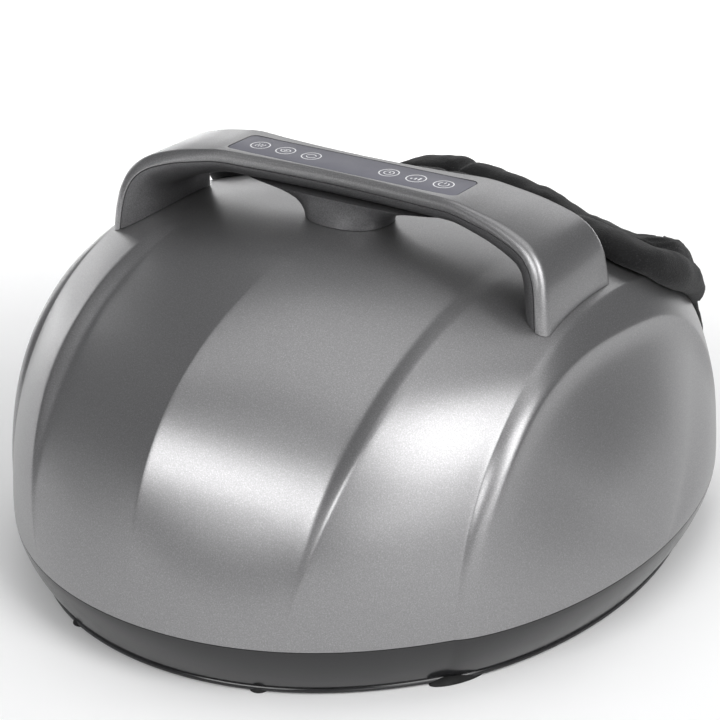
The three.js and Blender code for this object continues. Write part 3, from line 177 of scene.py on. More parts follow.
RIM_RESTS = (
    # x, y, degrees of the edge's run, half width, half depth, height
    (0.0655, -0.1865, 14, 0.0062, 0.0070, 0.0046),
    (0.1555, -0.1165, 60, 0.0185, 0.0062, 0.0042),
)

# Handle
HANDLE_HEIGHT = cad_box[1][2]
HANDLE_WALL = 0.0025
HANDLE_BAND = 0.0076
HANDLE_DEPTH = 0.0185
LEG_DEPTH = 0.0240
HANDLE_EDGE = 0.003
LEG_EDGE = 0.0065
LINER_INSET = 0.0006
LINER_SWEEP = 0.46
LINER_BACK_SWEEP = 0.16
LIP_EDGE = 0.0008
MIDDLE_FRONT = 0.041
MIDDLE_BACK = 0.001
FOOT_FRONT = 0.0615
FOOT_BACK = 0.024
FOOT_SPAN = 0.1615
SEAT_GAP = 0.0003
PEDESTAL_REACH = 0.0218
PEDESTAL_LONG = 0.0285
PEDESTAL_SHORT = 0.025
PEDESTAL_SINK = 0.006
PEDESTAL_RISE = 0.001
PEDESTAL_AROUND = 72
PEDESTAL_RINGS = 25
PEDESTAL_HASTE, PEDESTAL_SQUARENESS = 1.1, 0.75
PEDESTAL_SHARES = (
    # share of the height, share of the girth
    (0, 1.0), (0.2, 1.0), (0.4, 1.05), (0.55, 1.15), (0.7, 1.34), (0.82, 1.64), (0.91, 2.02), (1.0, 2.65),
)
HANDLE_PATH = (
    # half span, drop below the top
    (FOOT_SPAN, 0.074), (0.1598, 0.060), (0.158, 0.045), (0.1553, 0.033), (0.1495, 0.022), (0.139, 0.0133),
    (0.121, 0.0066), (0.102, 0.0026), (0.084, 0), (0.062, 0), (0.030, 0),
)
HANDLE_STATIONS = 181
LEG_START, LEG_RUN = 0.5, 0.4
LIP_CHAMFER = 0.3
FLARE_SHARE = 0.75
FLARE_POWER = 1.9
FLARE_DROP = 0.060

# Touch panel
PANEL_LENGTH = 0.166
PANEL_WIDTH = 0.029
PANEL_THICKNESS = 0.0012
PANEL_CORNER = 0.004
PANEL_GAP = 0.0006
PANEL_STEP = 0.001
PANEL_BEVEL = 0.0003
ICON_RADIUS = 0.0066
ICON_LINE = 0.0008
SIGN_LINE = 0.0007
BAR_LINE = SIGN_LINE * 1.8
SIGN_GRID = 0.0002
INK = 0.00004
ICON_PLACES = (0.0285, 0.0478, 0.0671)

# Cloth of the rear, measured like the dome; widths, heights and reaches of the collar by its stations
CLOTH = 0.0016
COLLAR_GAP = 0.0004
COLLAR_TOP = (
    # x, y, front reach, back reach, hem half width, hem half height, puff half height
    (0.000, 0.086, 0.027, 0.027, 0.0120, 0.0054, 0.0100),
    (0.034, 0.086, 0.027, 0.027, 0.0120, 0.0054, 0.0096),
    (0.060, 0.086, 0.027, 0.027, 0.0120, 0.0054, 0.0094),
    (0.085, 0.085, 0.027, 0.027, 0.0120, 0.0056, 0.0084),
    (0.104, 0.084, 0.030, 0.026, 0.0125, 0.0060, 0.0072),
    (0.120, 0.084, 0.035, 0.024, 0.0140, 0.0068, 0.0056),
    (0.134, 0.083, 0.040, 0.022, 0.0165, 0.0080, 0.0068),
    (0.148, 0.084, 0.039, 0.021, 0.0175, 0.0090, 0.0098),
)
COLLAR_SIDE = (
    # degrees along the ear's arch, shift out, lean, then the five sizes as above
    (120, -0.008, 0.40, 0.022, 0.018, 0.0135, 0.0096, 0.0116),
    (129, -0.011, 0.45, 0.018, 0.016, 0.0115, 0.0090, 0.0112),
    (137, -0.013, 0.45, 0.014, 0.013, 0.0090, 0.0074, 0.0090),
    (144, -0.016, 0.42, 0.010, 0.010, 0.0070, 0.0044, 0.0048),
    (154, -0.016, 0.36, 0.009, 0.009, 0.0058, 0.0036, 0.0040),
    (164, -0.016, 0.32, 0.007, 0.007, 0.0046, 0.0028, 0.0032),
    (171, -0.016, 0.28, 0.004, 0.005, 0.0032, 0.0020, 0.0024),
)
COLLAR_FOLDS = (
    # place along the collar, slant, width, depth
    (0.014, 0.003, 0.0034, 0.0066), (0.052, 0.010, 0.012, 0.0012),
    (-0.093, -0.010, 0.006, 0.0026), (0.100, 0.006, 0.014, 0.0012),
)
COLLAR_CORNER = 0.158
CORNER_FOLDS = 0.0052
COLLAR_ALONG = 261
COLLAR_AROUND = 64
COLLAR_SWAY = ((60, 0.0016), (160, 0.0005))
PUFF_FRONT, PUFF_RISE, HEM_RISE = 0.35, 0.95, 0.9
END_STEPS, END_SHARE = 5, 0.05
DRAPE_SHARE = 0.35
NORMAL_REACH = 0.014
NORMAL_WEIGHT = 0.01
ANGLE_STEP = 0.01
SLACK_PLACE, SLACK_WIDTH, SLACK_SHARE = -0.055, 0.040, 0.7
SLANT_TOP = (0.100, 0.197)
SLANT_FOOT = (0.180, 0.057)
SCOOP_SIDE, SCOOP_FOOT, SCOOP_RUN = 0.016, 0.020, 0.012
GATHER_DEPTH, GATHER_RUN, GATHER_COUNT = 0.0011, 0.12, 23
SAG_DEPTH, CREASE_DEPTH = 0.0022, 0.0008
BRIDGE_LIFT, BRIDGE_WIDTH = 0.004, 0.018
FREE_COVER, FREE_EDGE = 0.004, 0.010
COVER_GAP, COVER_BLEND = 0.0008, 0.0012
COVER_ROWS, COVER_COLUMNS = 121, 161
MOUTH_SHARE, MOUTH_ROUND = 0.985, 3.2
MOUTH_CUT = (-0.03, 0.05)
COVER_SEARCH, COVER_STEP = 0.3, 1e-4
HEM_RADIUS, HEM_WAVE, HEM_INSET = 0.0027, 0.0005, -0.0012
HEM_ALONG, HEM_AROUND = 300, 14

# Foam under the soles and air bags; each shape is the power of its plan and of its crown
PAD_HOLLOW = 0.0012
PAD_CHANNEL = 0.016
PAD_PITCH = 0.024
PAD_SHAPE = (0.24, 0.3)
BAG_SHAPE = (0.3, 0.62)
BAG_CRUMPLE = 0.0012

# Foot pockets: each ring's foot and top (y, z) and its share of the full width
FOOT_SPACING = 0.080
POCKET_HALF = 0.053
POCKET_SQUARENESS = 0.62
SLEEVE_ALONG, SLEEVE_AROUND = 60, 72
SLEEVE_SLACK, SLEEVE_CRUMPLE = 0.0004, 0.0014
SLEEVE_RINGS = (
    (-0.178, 0.086, -0.177, 0.116, 0.55), (-0.172, 0.077, -0.171, 0.127, 0.76),
    (-0.158, 0.068, -0.154, 0.136, 0.93), (-0.132, 0.0643, -0.124, 0.142, 1.0),
    (-0.050, 0.0643, -0.042, 0.150, 1.0), (0.030, 0.0643, 0.020, 0.156, 1.0),
    (0.110, 0.0643, 0.076, 0.170, 1.0), (0.174, 0.0673, 0.115, 0.173, 0.99),
)

# Inner parts that stay as they are
INNER_FINISHES = {
    # slot: colour and roughness, and where they differ metallic and grain
    "black_plastic": ((0.028, 0.028, 0.03), 0.5),
    "ivory_plastic": ((0.62, 0.58, 0.5), 0.42),
    "rotor_copper": ((0.5, 0.26, 0.12), 0.35, 0.8, 900),
    "board": ((0.02, 0.11, 0.05), 0.4),
    "rubber": ((0.02, 0.02, 0.02), 0.8, 0.0, 900),
    "amber_film": ((0.42, 0.17, 0.04), 0.35),
    "hose": ((0.55, 0.57, 0.6), 0.35),
}

# For all parts
TURN = 2 * math.pi
QUARTER_TURN = math.pi / 2
SIDES = ((-1, "left"), (1, "right"))
DOWN = Vector((0, 0, -1))
WELD = 1e-6
TINY = 1e-9


# Camera, floor and light

def aimed(name, data, place, aim):
    """Puts a camera or a lamp at its place, turned towards its aim."""
    obj = bpy.data.objects.new(name, data)
    obj.location = place
    obj.rotation_euler = (Vector(aim) - Vector(place)).to_track_quat("-Z", "Y").to_euler()
    bpy.context.scene.collection.objects.link(obj)
    return obj


def make_camera():
    data = bpy.data.cameras.new("photo_camera")
    data.sensor_width = SENSOR * MILLIMETRES
    data.lens = CAMERA_LENS * MILLIMETRES
    bpy.context.scene.camera = aimed("photo_camera", data, CAMERA_PLACE, CAMERA_AIM)


def soft_box(name, place, aim, size, watts, spread):
    data = bpy.data.lights.new(name, "AREA")
    data.shape = "RECTANGLE"
    data.size, data.size_y = size
    data.energy = watts
    data.spread = math.radians(spread)
    aimed(name, data, place, aim)


def make_studio():
    bpy.context.scene.view_settings.view_transform = "Standard"
    world = bpy.data.worlds.new("studio")
    bpy.context.scene.world = world
    world.use_nodes = True
    sky = world.node_tree.nodes["Background"].inputs
    sky["Color"].default_value = SKY_COLOUR
    sky["Strength"].default_value = SKY_STRENGTH
    for lamp in LAMPS:
        soft_box(*lamp)
    bm = bmesh.new()
    bmesh.ops.create_grid(bm, x_segments=1, y_segments=1, size=FLOOR_REACH)
    floor = mesh_object("floor", bm)
    floor.data.materials.append(paper_white())


# Materials

class Finish:
    """A procedural material: a shader with its pattern nodes on Object coordinates."""

    def __init__(self, name, colour, roughness, metallic=0.0, **sockets):
        self.material = bpy.data.materials.new(name)
        self.material.use_nodes = True
        self.tree = self.material.node_tree
        self.shader = self.tree.nodes["Principled BSDF"]
        self.place = self.wired("ShaderNodeTexCoord", "Object")
        self.colour = colour
        self.set(self.shader, "Base Color", (*colour, 1))
        self.set(self.shader, "Roughness", roughness)
        self.set(self.shader, "Metallic", metallic)
        for socket, value in sockets.items():
            self.set(self.shader, socket.replace("_", " ").title().replace("Ior", "IOR"), value)

    def set(self, node, socket, value):
        if isinstance(value, bpy.types.NodeSocket):
            self.tree.links.new(value, node.inputs[socket])
        else:
            node.inputs[socket].default_value = value

    def wired(self, kind, output, inputs=(), **settings):
        """A new node's output, once its settings and inputs are in place."""
        node = self.tree.nodes.new(kind)
        for name, value in settings.items():
            setattr(node, name, value)
        for socket, value in dict(inputs).items():
            self.set(node, socket, value)
        return node.outputs[output]

    def noise(self, scale, detail=2.0, roughness=0.5, place=None):
        return self.wired("ShaderNodeTexNoise", "Fac", {"Vector": place or self.place, "Scale": scale,
                                                        "Detail": detail, "Roughness": roughness})

    def ranged(self, value, low, high, to_low, to_high):
        return self.wired("ShaderNodeMapRange", "Result", {"Value": value, "From Min": low, "From Max": high,
                                                           "To Min": to_low, "To Max": to_high})

    def toned(self, pattern, *stops):
        """The colour times factors that follow a pattern."""
        node = self.tree.nodes.new("ShaderNodeValToRGB")
        self.set(node, "Fac", pattern)
        places = node.color_ramp.elements
        while len(places) < len(stops):
            places.new(0.5)
        for element, (position, factor) in zip(places, stops):
            element.position = position
            element.color = (*scaled(self.colour, factor), 1)
        return node.outputs["Color"]

    def tone(self, pattern, *stops):
        self.set(self.shader, "Base Color", self.toned(pattern, *stops))

    def drift(self, toned, patches, within, most, factor):
        """A toned colour that gives way to the colour times a factor in slow patches."""
        share = self.ranged(patches, *within, 0.0, most)
        inputs = {0: share, 6: toned, 7: (*scaled(self.colour, factor), 1)}
        self.set(self.shader, "Base Color", self.wired("ShaderNodeMix", 2, inputs, data_type="RGBA"))

    def satin(self, pattern, low, high, start=0.3, end=0.7):
        """Roughness between two values that follows a pattern."""
        self.set(self.shader, "Roughness", self.ranged(pattern, start, end, low, high))

    def bump(self, height, strength, distance, below=None):
        inputs = {"Height": height, "Strength": strength, "Distance": distance}
        if below:
            inputs["Normal"] = below
        normal = self.wired("ShaderNodeBump", "Normal", inputs)
        self.set(self.shader, "Normal", normal)
        return normal


def scaled(colour, factor):
    return tuple(c * factor for c in colour)


def paper_white():
    made = Finish("paper_white", (0.95, 0.95, 0.95), 0.6)
    made.satin(made.noise(30), 0.55, 0.7)
    made.bump(made.noise(400), 0.05, 0.0002)
    return made.material


def silver_paint():
    """Metallic paint: fine flakes that catch the light one by one under a satin lacquer."""
    made = Finish("silver_paint", (0.28, 0.278, 0.282), 0.36, 0.9, coat_weight=0.12, coat_roughness=0.25)
    flakes = made.noise(1500, 2, 0.7)
    glitter = made.toned(flakes, (0.3, 0.84), (0.52, 1), (0.7, 1.3))
    made.drift(glitter, made.noise(9, 2), (0.3, 0.7), 0.12, 0.8)
    made.satin(made.noise(700, 2), 0.35, 0.385)
    made.bump(flakes, 0.06, 0.0003)
    return made.material


def gloss_grey():
    """Glossy dark moulding of the tray, with faint handling marks."""
    made = Finish("gloss_grey", (0.014, 0.014, 0.015), 0.2)
    made.satin(made.noise(60, 6, 0.6), 0.13, 0.26, end=0.75)
    made.tone(made.noise(14, 3), (0.35, 0.9), (0.7, 1.12))
    made.bump(made.noise(220, 2), 0.03, 0.0002)
    return made.material


def liner_grey():
    """Satin grey moulding under the handle with a fine spark-eroded grain, its grey darkened with painted
    shade.
    """
    # The base colour is the liner's own grey made darker by painted shade, for the shadow under the handle.
    made = Finish("liner_grey", (0.115, 0.114, 0.117), 0.45, 0.6)
    grain = made.noise(1300, 3, 0.6)
    made.tone(grain, (0.3, 0.75), (0.7, 1.3))
    made.satin(made.noise(90, 3), 0.38, 0.5)
    made.bump(grain, 0.25, 0.0003)
    return made.material


def panel_film():
    made = Finish("panel_film", (0.15, 0.15, 0.178), 0.45, specular_ior_level=0.3)
    made.tone(made.noise(25, 3), (0.3, 0.92), (0.7, 1.08))
    made.satin(made.noise(60, 2), 0.42, 0.5)
    made.bump(made.noise(300, 1), 0.02, 0.0001)
    return made.material


def icon_ink():
    made = Finish("icon_ink", (0.8, 0.8, 0.82), 0.45)
    made.tone(made.noise(900, 2), (0.3, 0.875), (0.6, 1.0625))
    return made.material


def black_cloth():
    """Brushed knit: short fibres with a dull sheen, lighter lint and a fine rib."""
    made = Finish("black_cloth", (0.0062, 0.0062, 0.0065), 0.95, sheen_weight=0.12, sheen_roughness=0.5,
                  specular_ior_level=0.25)
    lint = made.noise(1100, 4, 0.75)
    fibres = made.toned(lint, (0.38, 0.55), (0.56, 1.2), (0.76, 9))
    made.drift(fibres, made.noise(35, 3), (0.35, 0.65), 0.35, 1.9)
    loops = made.wired("ShaderNodeTexVoronoi", "Distance", {"Vector": made.place, "Scale": 950})
    made.bump(lint, 0.5, 0.0005, made.bump(loops, 0.35, 0.0004))
    return made.material


def plain_moulding(name, colour, roughness, metallic=0.0, grain=500):
    """A plain or cast inner part, with a light grain and slow changes of tone."""
    made = Finish(name, colour, roughness, metallic)
    made.tone(made.noise(40, 3), (0.3, 0.85), (0.7, 1.12))
    made.satin(made.noise(120, 3), roughness * 0.85, roughness * 1.15)
    made.bump(made.noise(grain, 3), 0.12, 0.0002)
    return made.material


def turned_steel():
    made = Finish("steel", (0.55, 0.56, 0.58), 0.28, 1.0)
    stretched = made.wired("ShaderNodeMapping", "Vector", {"Vector": made.place, "Scale": (1, 12, 12)})
    lines = made.noise(300, 3, 0.6, stretched)
    made.satin(lines, 0.2, 0.38)
    made.bump(lines, 0.08, 0.0001)
    return made.material


# Dome surface

def mix(a, b, share):
    return a + (b - a) * share


def bent(value, power):
    """A power that keeps the sign, which squares a circle's corners."""
    return np.sign(value) * np.abs(value) ** power


def ring_angles(count):
    return TURN * np.arange(count) / count


def closed_angles(count):
    return TURN * np.arange(count + 1) / count


def eased(t):
    held = np.clip(t, 0, 1)
    return held * held * (3 - 2 * held)


def bowed(x, middle, end, bow_share, power):
    """Reach at a place between the middle and the ears, which falls off in a bow."""
    u = x / EAR_PLANE
    return middle - (middle - end) * (bow_share * u ** 2 + (1 - bow_share) * u ** power)


def arch(x, fullness, angle):
    """Points of the fore-and-aft arches at places x; angle runs from the toe seam to the back seam."""
    along = math.cos(angle)
    front = bowed(x, FRONT_REACH, EAR_FRONT_REACH, FRONT_BOW_SHARE, 4)
    back = bowed(x, BACK_REACH, EAR_BACK_REACH, BACK_BOW_SHARE, 6)
    reach = front if along > 0 else back
    y = -bent(along, 2 / fullness) * reach
    rise = DOME_RISE - EAR_PLANE_DROP * (x / EAR_PLANE) ** 2
    z = max(math.sin(angle), 0) ** (2 / fullness) * rise
    return np.stack([x, y, z], axis=-1)


SECTION_PLACES = np.linspace(0, 4, 1601)


def raw_section(angle):
    """Right half of the section at an angle, from the keel over pleat and ear crease to the ear's pole."""
    height = max(math.sin(angle), 0) ** (2 / CREST_FULLNESS)
    valley = mix(PLEAT_FOOT, PLEAT_VALLEY_TOP, height ** VALLEY_POWER)
    crest = mix(PLEAT_FOOT, PLEAT_CREST_TOP, 1 - (1 - height) ** CREST_POWER)
    knots = (0, 1, 2, 3)
    x = np.interp(SECTION_PLACES, knots, (0, valley, crest, EAR_PLANE))
    fullness = np.interp(SECTION_PLACES, knots, FULLNESSES)
    points = arch(x, fullness, angle)
    flat = FLAT_SHARE * eased(height / FLAT_START) * eased((1 - height) / FLAT_END)
    between = SECTION_PLACES <= 1
    ends = points[0], points[np.searchsorted(SECTION_PLACES, 1)]
    chord = mix(ends[0], ends[1], SECTION_PLACES[:, None])
    points = np.where(between[:, None], mix(points, chord, flat), points)
    out, shrink = ear_form(np.clip(SECTION_PLACES - 3, 0, 1), angle)
    points[:, 0] += out
    points[:, 1:] *= shrink[:, None]
    return points


def aloft_share(angle):
    return eased((angle / math.pi - ALOFT_START) / ALOFT_RUN)


def ear_form(share, angle):
    """Reach outwards and shrinking of the ear, at shares of the way from its crease to its pole."""
    raised = eased(math.sin(angle) / RAISED_SINE)
    aloft = aloft_share(angle)
    edge = mix(ROLL_EDGE_SHARE, ROLL_TOP_SHARE, aloft)
    reach = mix(ROLL_REACH, ROLL_TOP_REACH, aloft)
    behind = np.maximum((share - ROLL_PLACE) / (1 - ROLL_PLACE), 0)
    within = np.clip(share / ROLL_PLACE, 0, 1)
    shrink = np.where(share < ROLL_PLACE, mix(1, edge, within), edge * (1 - behind))
    sunk = 1 - np.clip(1 - behind / DISH_START, 0, 1) ** 2
    dish = EAR_DISH * sunk * (1 - eased((behind - DISH_START) / DISH_RUN))
    rolled = np.where(share < ROLL_PLACE, reach * within ** mix(ROLL_LOW_SHARE, ROLL_HIGH_SHARE, aloft),
                      mix(reach, EAR_BULGE, 1 - (1 - behind) ** DISH_SHARE) - dish)
    return mix(EAR_BULGE * (1 - shrink ** 2) ** SKIRT_SHARE, rolled, raised), shrink


def arc_lengths(points):
    return np.concatenate([[0], np.cumsum(np.linalg.norm(np.diff(points, axis=0), axis=1))])


def sampled(at, places, rows):
    """The rows between the given ones, at new places."""
    return np.stack([np.interp(at, places, column) for column in rows.T], axis=-1)


def softened(points, lengths, radii):
    """Each point becomes the mean of the line within its radius, which rounds the corners."""
    steps = np.diff(lengths)[:, None]
    sums = np.concatenate([np.zeros((1, 3)), np.cumsum((points[1:] + points[:-1]) / 2 * steps, axis=0)])
    reach = np.maximum(np.minimum(radii, np.minimum(lengths - lengths[0], lengths[-1] - lengths)), WELD)
    spread = sampled(lengths + reach, lengths, sums) - sampled(lengths - reach, lengths, sums)
    result = spread / (2 * reach)[:, None]
    result[0], result[-1] = points[0], points[-1]
    return result


def close_at_ends(count):
    """Shares from 0 to 1 that lie closer together towards both ends."""
    return (1 - np.cos(np.pi * np.arange(count) / count)) / 2


def close_at_start(count):
    return (np.arange(count) / count) ** START_POWER


SPANS = ((0, 1, close_at_ends(20)), (1, 2, close_at_ends(14)), (2, 3, close_at_ends(18)),
         (3, 3 + ROLL_PLACE, close_at_ends(14)), (3 + ROLL_PLACE, 4, close_at_start(30)))


def dome_row(angle):
    half = raw_section(angle)
    full = np.concatenate([half[:0:-1] * (-1, 1, 1), half])
    lengths = arc_lengths(full)
    lengths -= lengths[len(half) - 1]
    place = np.concatenate([SECTION_PLACES[:0:-1], SECTION_PLACES])
    roll_round = mix(ROLL_ROUND, ROLL_TOP_ROUND, aloft_share(angle))
    knots = (0, 1, 2, 3, 3 + ROLL_PLACE / 2, 3 + ROLL_PLACE, 4)
    radii = np.interp(place, knots, (*ROUNDS, roll_round, roll_round, POLE_ROUND))
    smooth = softened(softened(full, lengths, radii), lengths, radii)
    right = lengths[len(half) - 1:]
    marks = []
    for start, end, shares in SPANS:
        first, last = np.interp((start, end), SECTION_PLACES, right)
        marks.extend(mix(first, last, shares))
    marks = np.array([*marks, right[-1]])
    stops = np.concatenate([-marks[:0:-1], marks])
    return sampled(stops, lengths, smooth)


def dome_points():
    rows = np.array([dome_row(math.pi * i / (DOME_ROWS - 1)) for i in range(DOME_ROWS)])
    return rows + (0, MIDDLE_Y, SEAM)


DOME = dome_points()
SEAM_LOOP = np.concatenate([DOME[0], DOME[-1][-2:0:-1]])
SEAM_LOOP = SEAM_LOOP[np.linalg.norm(SEAM_LOOP - np.roll(SEAM_LOOP, 1, axis=0), axis=1) > SEAM_STEP]


# Mesh helpers

def grid_mesh(points, closed=False):
    """A grid moved onto points[row][column]; a closed one joins its last column to its first."""
    places = np.concatenate([points, points[:, :1]], axis=1) if closed else points
    rows, columns = places.shape[:2]
    bm = bmesh.new()
    bmesh.ops.create_grid(bm, x_segments=columns - 1, y_segments=rows - 1, size=1)
    for vert, place in zip(bm.verts, places.reshape(-1, 3)):
        vert.co = place
    if closed:
        bmesh.ops.remove_doubles(bm, verts=bm.verts, dist=1e-7)
    return bm


def face_out(bm, centre=None):
    """Turns all faces so that they point away from the centre."""
    bmesh.ops.recalc_face_normals(bm, faces=bm.faces)
    middle = centre or sum((v.co for v in bm.verts), Vector()) / len(bm.verts)
    if sum(f.normal.dot(f.calc_center_median() - middle) * f.calc_area() for f in bm.faces) < 0:
        bmesh.ops.reverse_faces(bm, faces=bm.faces)


def cap_ends(bm):
    edges = [e for e in bm.edges if e.is_boundary]
    bmesh.ops.holes_fill(bm, edges=edges, sides=0)
    bmesh.ops.recalc_face_normals(bm, faces=bm.faces)


def mesh_object(name, bm):
    mesh = bpy.data.meshes.new(name)
    bm.to_mesh(mesh)
    bm.free()
    obj = bpy.data.objects.new(name, mesh)
    bpy.context.scene.collection.objects.link(obj)
    return obj


def settle(obj):
    """Bakes the object's modifiers into its mesh."""
    graph = bpy.context.evaluated_depsgraph_get()
    obj.data = bpy.data.meshes.new_from_object(obj.evaluated_get(graph))
    obj.modifiers.clear()


def thicken(obj, wall):
    """Gives a surface its wall, on the inner side."""
    modifier = obj.modifiers.new("wall", "SOLIDIFY")
    modifier.thickness = wall
    modifier.offset = -1
    settle(obj)


def dome_mesh():
    bm = grid_mesh(DOME)
    bmesh.ops.remove_doubles(bm, verts=bm.verts, dist=WELD)
    face_out(bm, Vector((0, MIDDLE_Y, 0)))
    return bm


def tube(name, rings):
    """A filled body through closed rings of points."""
    bm = grid_mesh(np.array(rings), closed=True)
    cap_ends(bm)
    return mesh_object(name, bm)


def carve(obj, cutters, operation="DIFFERENCE"):
    for cutter in cutters:
        modifier = obj.modifiers.new("cut", "BOOLEAN")
        modifier.object = cutter
        modifier.operation = operation
        modifier.solver = "EXACT"
    settle(obj)
    for cutter in cutters:
        bpy.data.objects.remove(cutter)


def finish_piece(obj, material, stands_for=(), body="housing", sharp=40):
    obj.data.materials.clear()
    obj.data.materials.append(material)
    obj.data.shade_smooth()
    obj.data.set_sharp_from_angle(angle=math.radians(sharp))
    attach(obj, body)
    if stands_for:
        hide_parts(*stands_for)
    return obj


# Shell and tray

def opening_planes():
    """Half spaces whose overlap is the rear opening: a point and the inward direction of each."""
    planes = [((0, MIDDLE_Y + RIM_REACH, 0), (0, 1, 0))]
    for side in (1, -1):
        middle = Vector((side * (OPENING_HALF - OPENING_CORNER), 0, SILL + OPENING_CORNER))
        for angle in QUARTER_TURN * np.arange(7) / 6:
            out = Vector((side * math.cos(angle), 0, -math.sin(angle)))
            planes.append((middle + out * OPENING_CORNER, -out))
    return planes


def upper_shell(paint):
    bm = dome_mesh()
    planes = opening_planes()
    for point, inward in planes:
        behind = [f for f in bm.faces if max(v.co.y for v in f.verts) > MIDDLE_Y + RIM_REACH - CUT_MARGIN]
        edges = {e for f in behind for e in f.edges}
        verts = {v for f in behind for v in f.verts}
        bmesh.ops.bisect_plane(bm, geom=[*behind, *edges, *verts], dist=WELD, plane_co=point, plane_no=inward)
    gone = [f for f in bm.faces
            if all((f.calc_center_median() - Vector(p)).dot(Vector(n)) > 0 for p, n in planes)]
    bmesh.ops.delete(bm, geom=gone, context="FACES")
    obj = mesh_object("shell_paint", bm)
    thicken(obj, SHELL_WALL)
    finish_piece(obj, paint, ["upper_shell"], sharp=50)


def dome_cutter(grow):
    """The dome as a filled body, a little larger than the shell."""
    bm = dome_mesh()
    bm.normal_update()
    for vert in bm.verts:
        vert.co += vert.normal * grow
    cap_ends(bm)
    return mesh_object("dome_cutter", bm)


def loop_inward(loop):
    """Level unit vectors that point into the seam loop."""
    along = np.roll(loop, -1, axis=0) - np.roll(loop, 1, axis=0)
    inward = np.stack([-along[:, 1], along[:, 0], np.zeros(len(loop))], axis=-1)
    return inward / np.maximum(np.linalg.norm(inward, axis=1), TINY)[:, None]


def tray_profile(top):
    """Insets and heights from the tray's floor, inside, over its rim and down to its underside."""
    shares = np.arange(TRAY_STEPS + 1) / TRAY_STEPS
    profile = [(TRAY_INSET * share ** TRAY_CURVE + TRAY_WALL, mix(top, TRAY_FLOOR, share))
               for share in shares[::-1]]
    profile += [(RIM_INSET, top), (RIM_EDGE, top - TRAY_GAP)]
    profile += [(TRAY_INSET * share ** TRAY_CURVE, mix(top, TRAY_BOTTOM + 2 * LIP, share))
                for share in shares[1:]]
    for share in np.arange(1, LIP_STEPS + 1) / LIP_STEPS:
        angle = QUARTER_TURN * share
        profile.append((TRAY_INSET + LIP * (1 - math.sin(angle)) - LIP * LIP_DRAW,
                        TRAY_BOTTOM + LIP + LIP * math.cos(angle) - LIP * share))
    return [*profile, (TRAY_INSET + 3 * LIP, TRAY_BOTTOM)]


def mirrored(places):
    return [(side * x, y) for side, _ in SIDES for x, y in places]


def base_tray(gloss):
    inward = loop_inward(SEAM_LOOP)
    top = SEAM - TRAY_GAP
    rings = [SEAM_LOOP * (1, 1, 0) + inward * inset + (0, 0, z) for inset, z in tray_profile(top)]
    obj = tube("tray_gloss", rings)
    floor = TRAY_FLOOR - TRAY_SINK
    rods = [peg(x, y, COLUMN_RADIUS, floor, top) for x, y in mirrored(TRAY_SCREWS)]
    rods += [peg(x, y, BOSS_RADIUS, floor, BOSS_TOP) for x, y in mirrored(BOSSES)]
    carve(obj, rods, "UNION")
    drills = [peg(x, y, SCREW_RADIUS, -TRAY_SINK, SEAM) for x, y in mirrored(TRAY_SCREWS)]
    drills += [peg(x, y, SCREW_HEAD, -TRAY_SINK, SCREW_RECESS) for x, y in mirrored(TRAY_SCREWS)]
    drills += [peg(x, y, FOOT_RADIUS, -TRAY_SINK, FOOT_SEAT) for x, y in mirrored(FEET)]
    drills += [vent_cutter(side * VENT_REACH + step * VENT_PITCH) for side, _ in SIDES for step in (-1, 0, 1)]
    drills.append(peg(INLET_PLACE, 0, INLET_RADIUS, *INLET_CUT, "Y", INLET_HEIGHT))
    drills += [mesh_object("notch", rim_oval(side, *sizes)) for side, _ in SIDES for sizes in RIM_RESTS]
    carve(obj, drills)
    finish_piece(obj, gloss, ["base_tray"])


def peg(x, y, radius, low, high, along="Z", height=0.0):
    """A round rod from low to high, upright or along the machine's depth."""
    bm = bmesh.new()
    bmesh.ops.create_cone(bm, cap_ends=True, segments=40, radius1=radius, radius2=radius, depth=high - low)
    middle = (low + high) / 2
    if along == "Z":
        bmesh.ops.translate(bm, verts=bm.verts, vec=(x, y, middle))
    else:
        bmesh.ops.rotate(bm, verts=bm.verts, matrix=Matrix.Rotation(QUARTER_TURN, 3, "X"))
        bmesh.ops.translate(bm, verts=bm.verts, vec=(x, middle, height))
    return mesh_object("peg", bm)


def vent_cutter(x):
    bm = bmesh.new()
    bmesh.ops.create_cube(bm, size=1)
    bmesh.ops.scale(bm, verts=bm.verts, vec=(VENT_WIDTH, VENT_LENGTH, TRAY_FLOOR * 3))
    bmesh.ops.translate(bm, verts=bm.verts, vec=(x, VENT_MIDDLE, 0))
    return mesh_object("vent", bm)


def rim_oval(side, x, y, run, *halves):
    """A flat oval along the tray's lower edge."""
    bm = bmesh.new()
    bmesh.ops.create_uvsphere(bm, u_segments=48, v_segments=24, radius=1)
    bmesh.ops.scale(bm, verts=bm.verts, vec=halves)
    bmesh.ops.rotate(bm, verts=bm.verts, matrix=Matrix.Rotation(side * math.radians(run), 3, "Z"))
    bmesh.ops.translate(bm, verts=bm.verts, vec=(side * x, y, 0))
    return bm


def rim_rubbers(rubber):
    """Black rubber rests that fill the ovals in the tray's lower edge."""
    for name, (x, y, run, *halves) in zip(("toe", "flank"), RIM_RESTS):
        for side, word in SIDES:
            bm = rim_oval(side, x, y, run, *[half - RIM_PLAY for half in halves])
            bmesh.ops.bisect_plane(bm, geom=[*bm.verts, *bm.edges, *bm.faces], plane_co=(0, 0, FLOOR_PLAY),
                                   plane_no=DOWN, clear_outer=True)
            bmesh.ops.holes_fill(bm, edges=bm.edges, sides=0)
            finish_piece(mesh_object(f"{word}_{name}_rest", bm), rubber, sharp=60)


# Handle

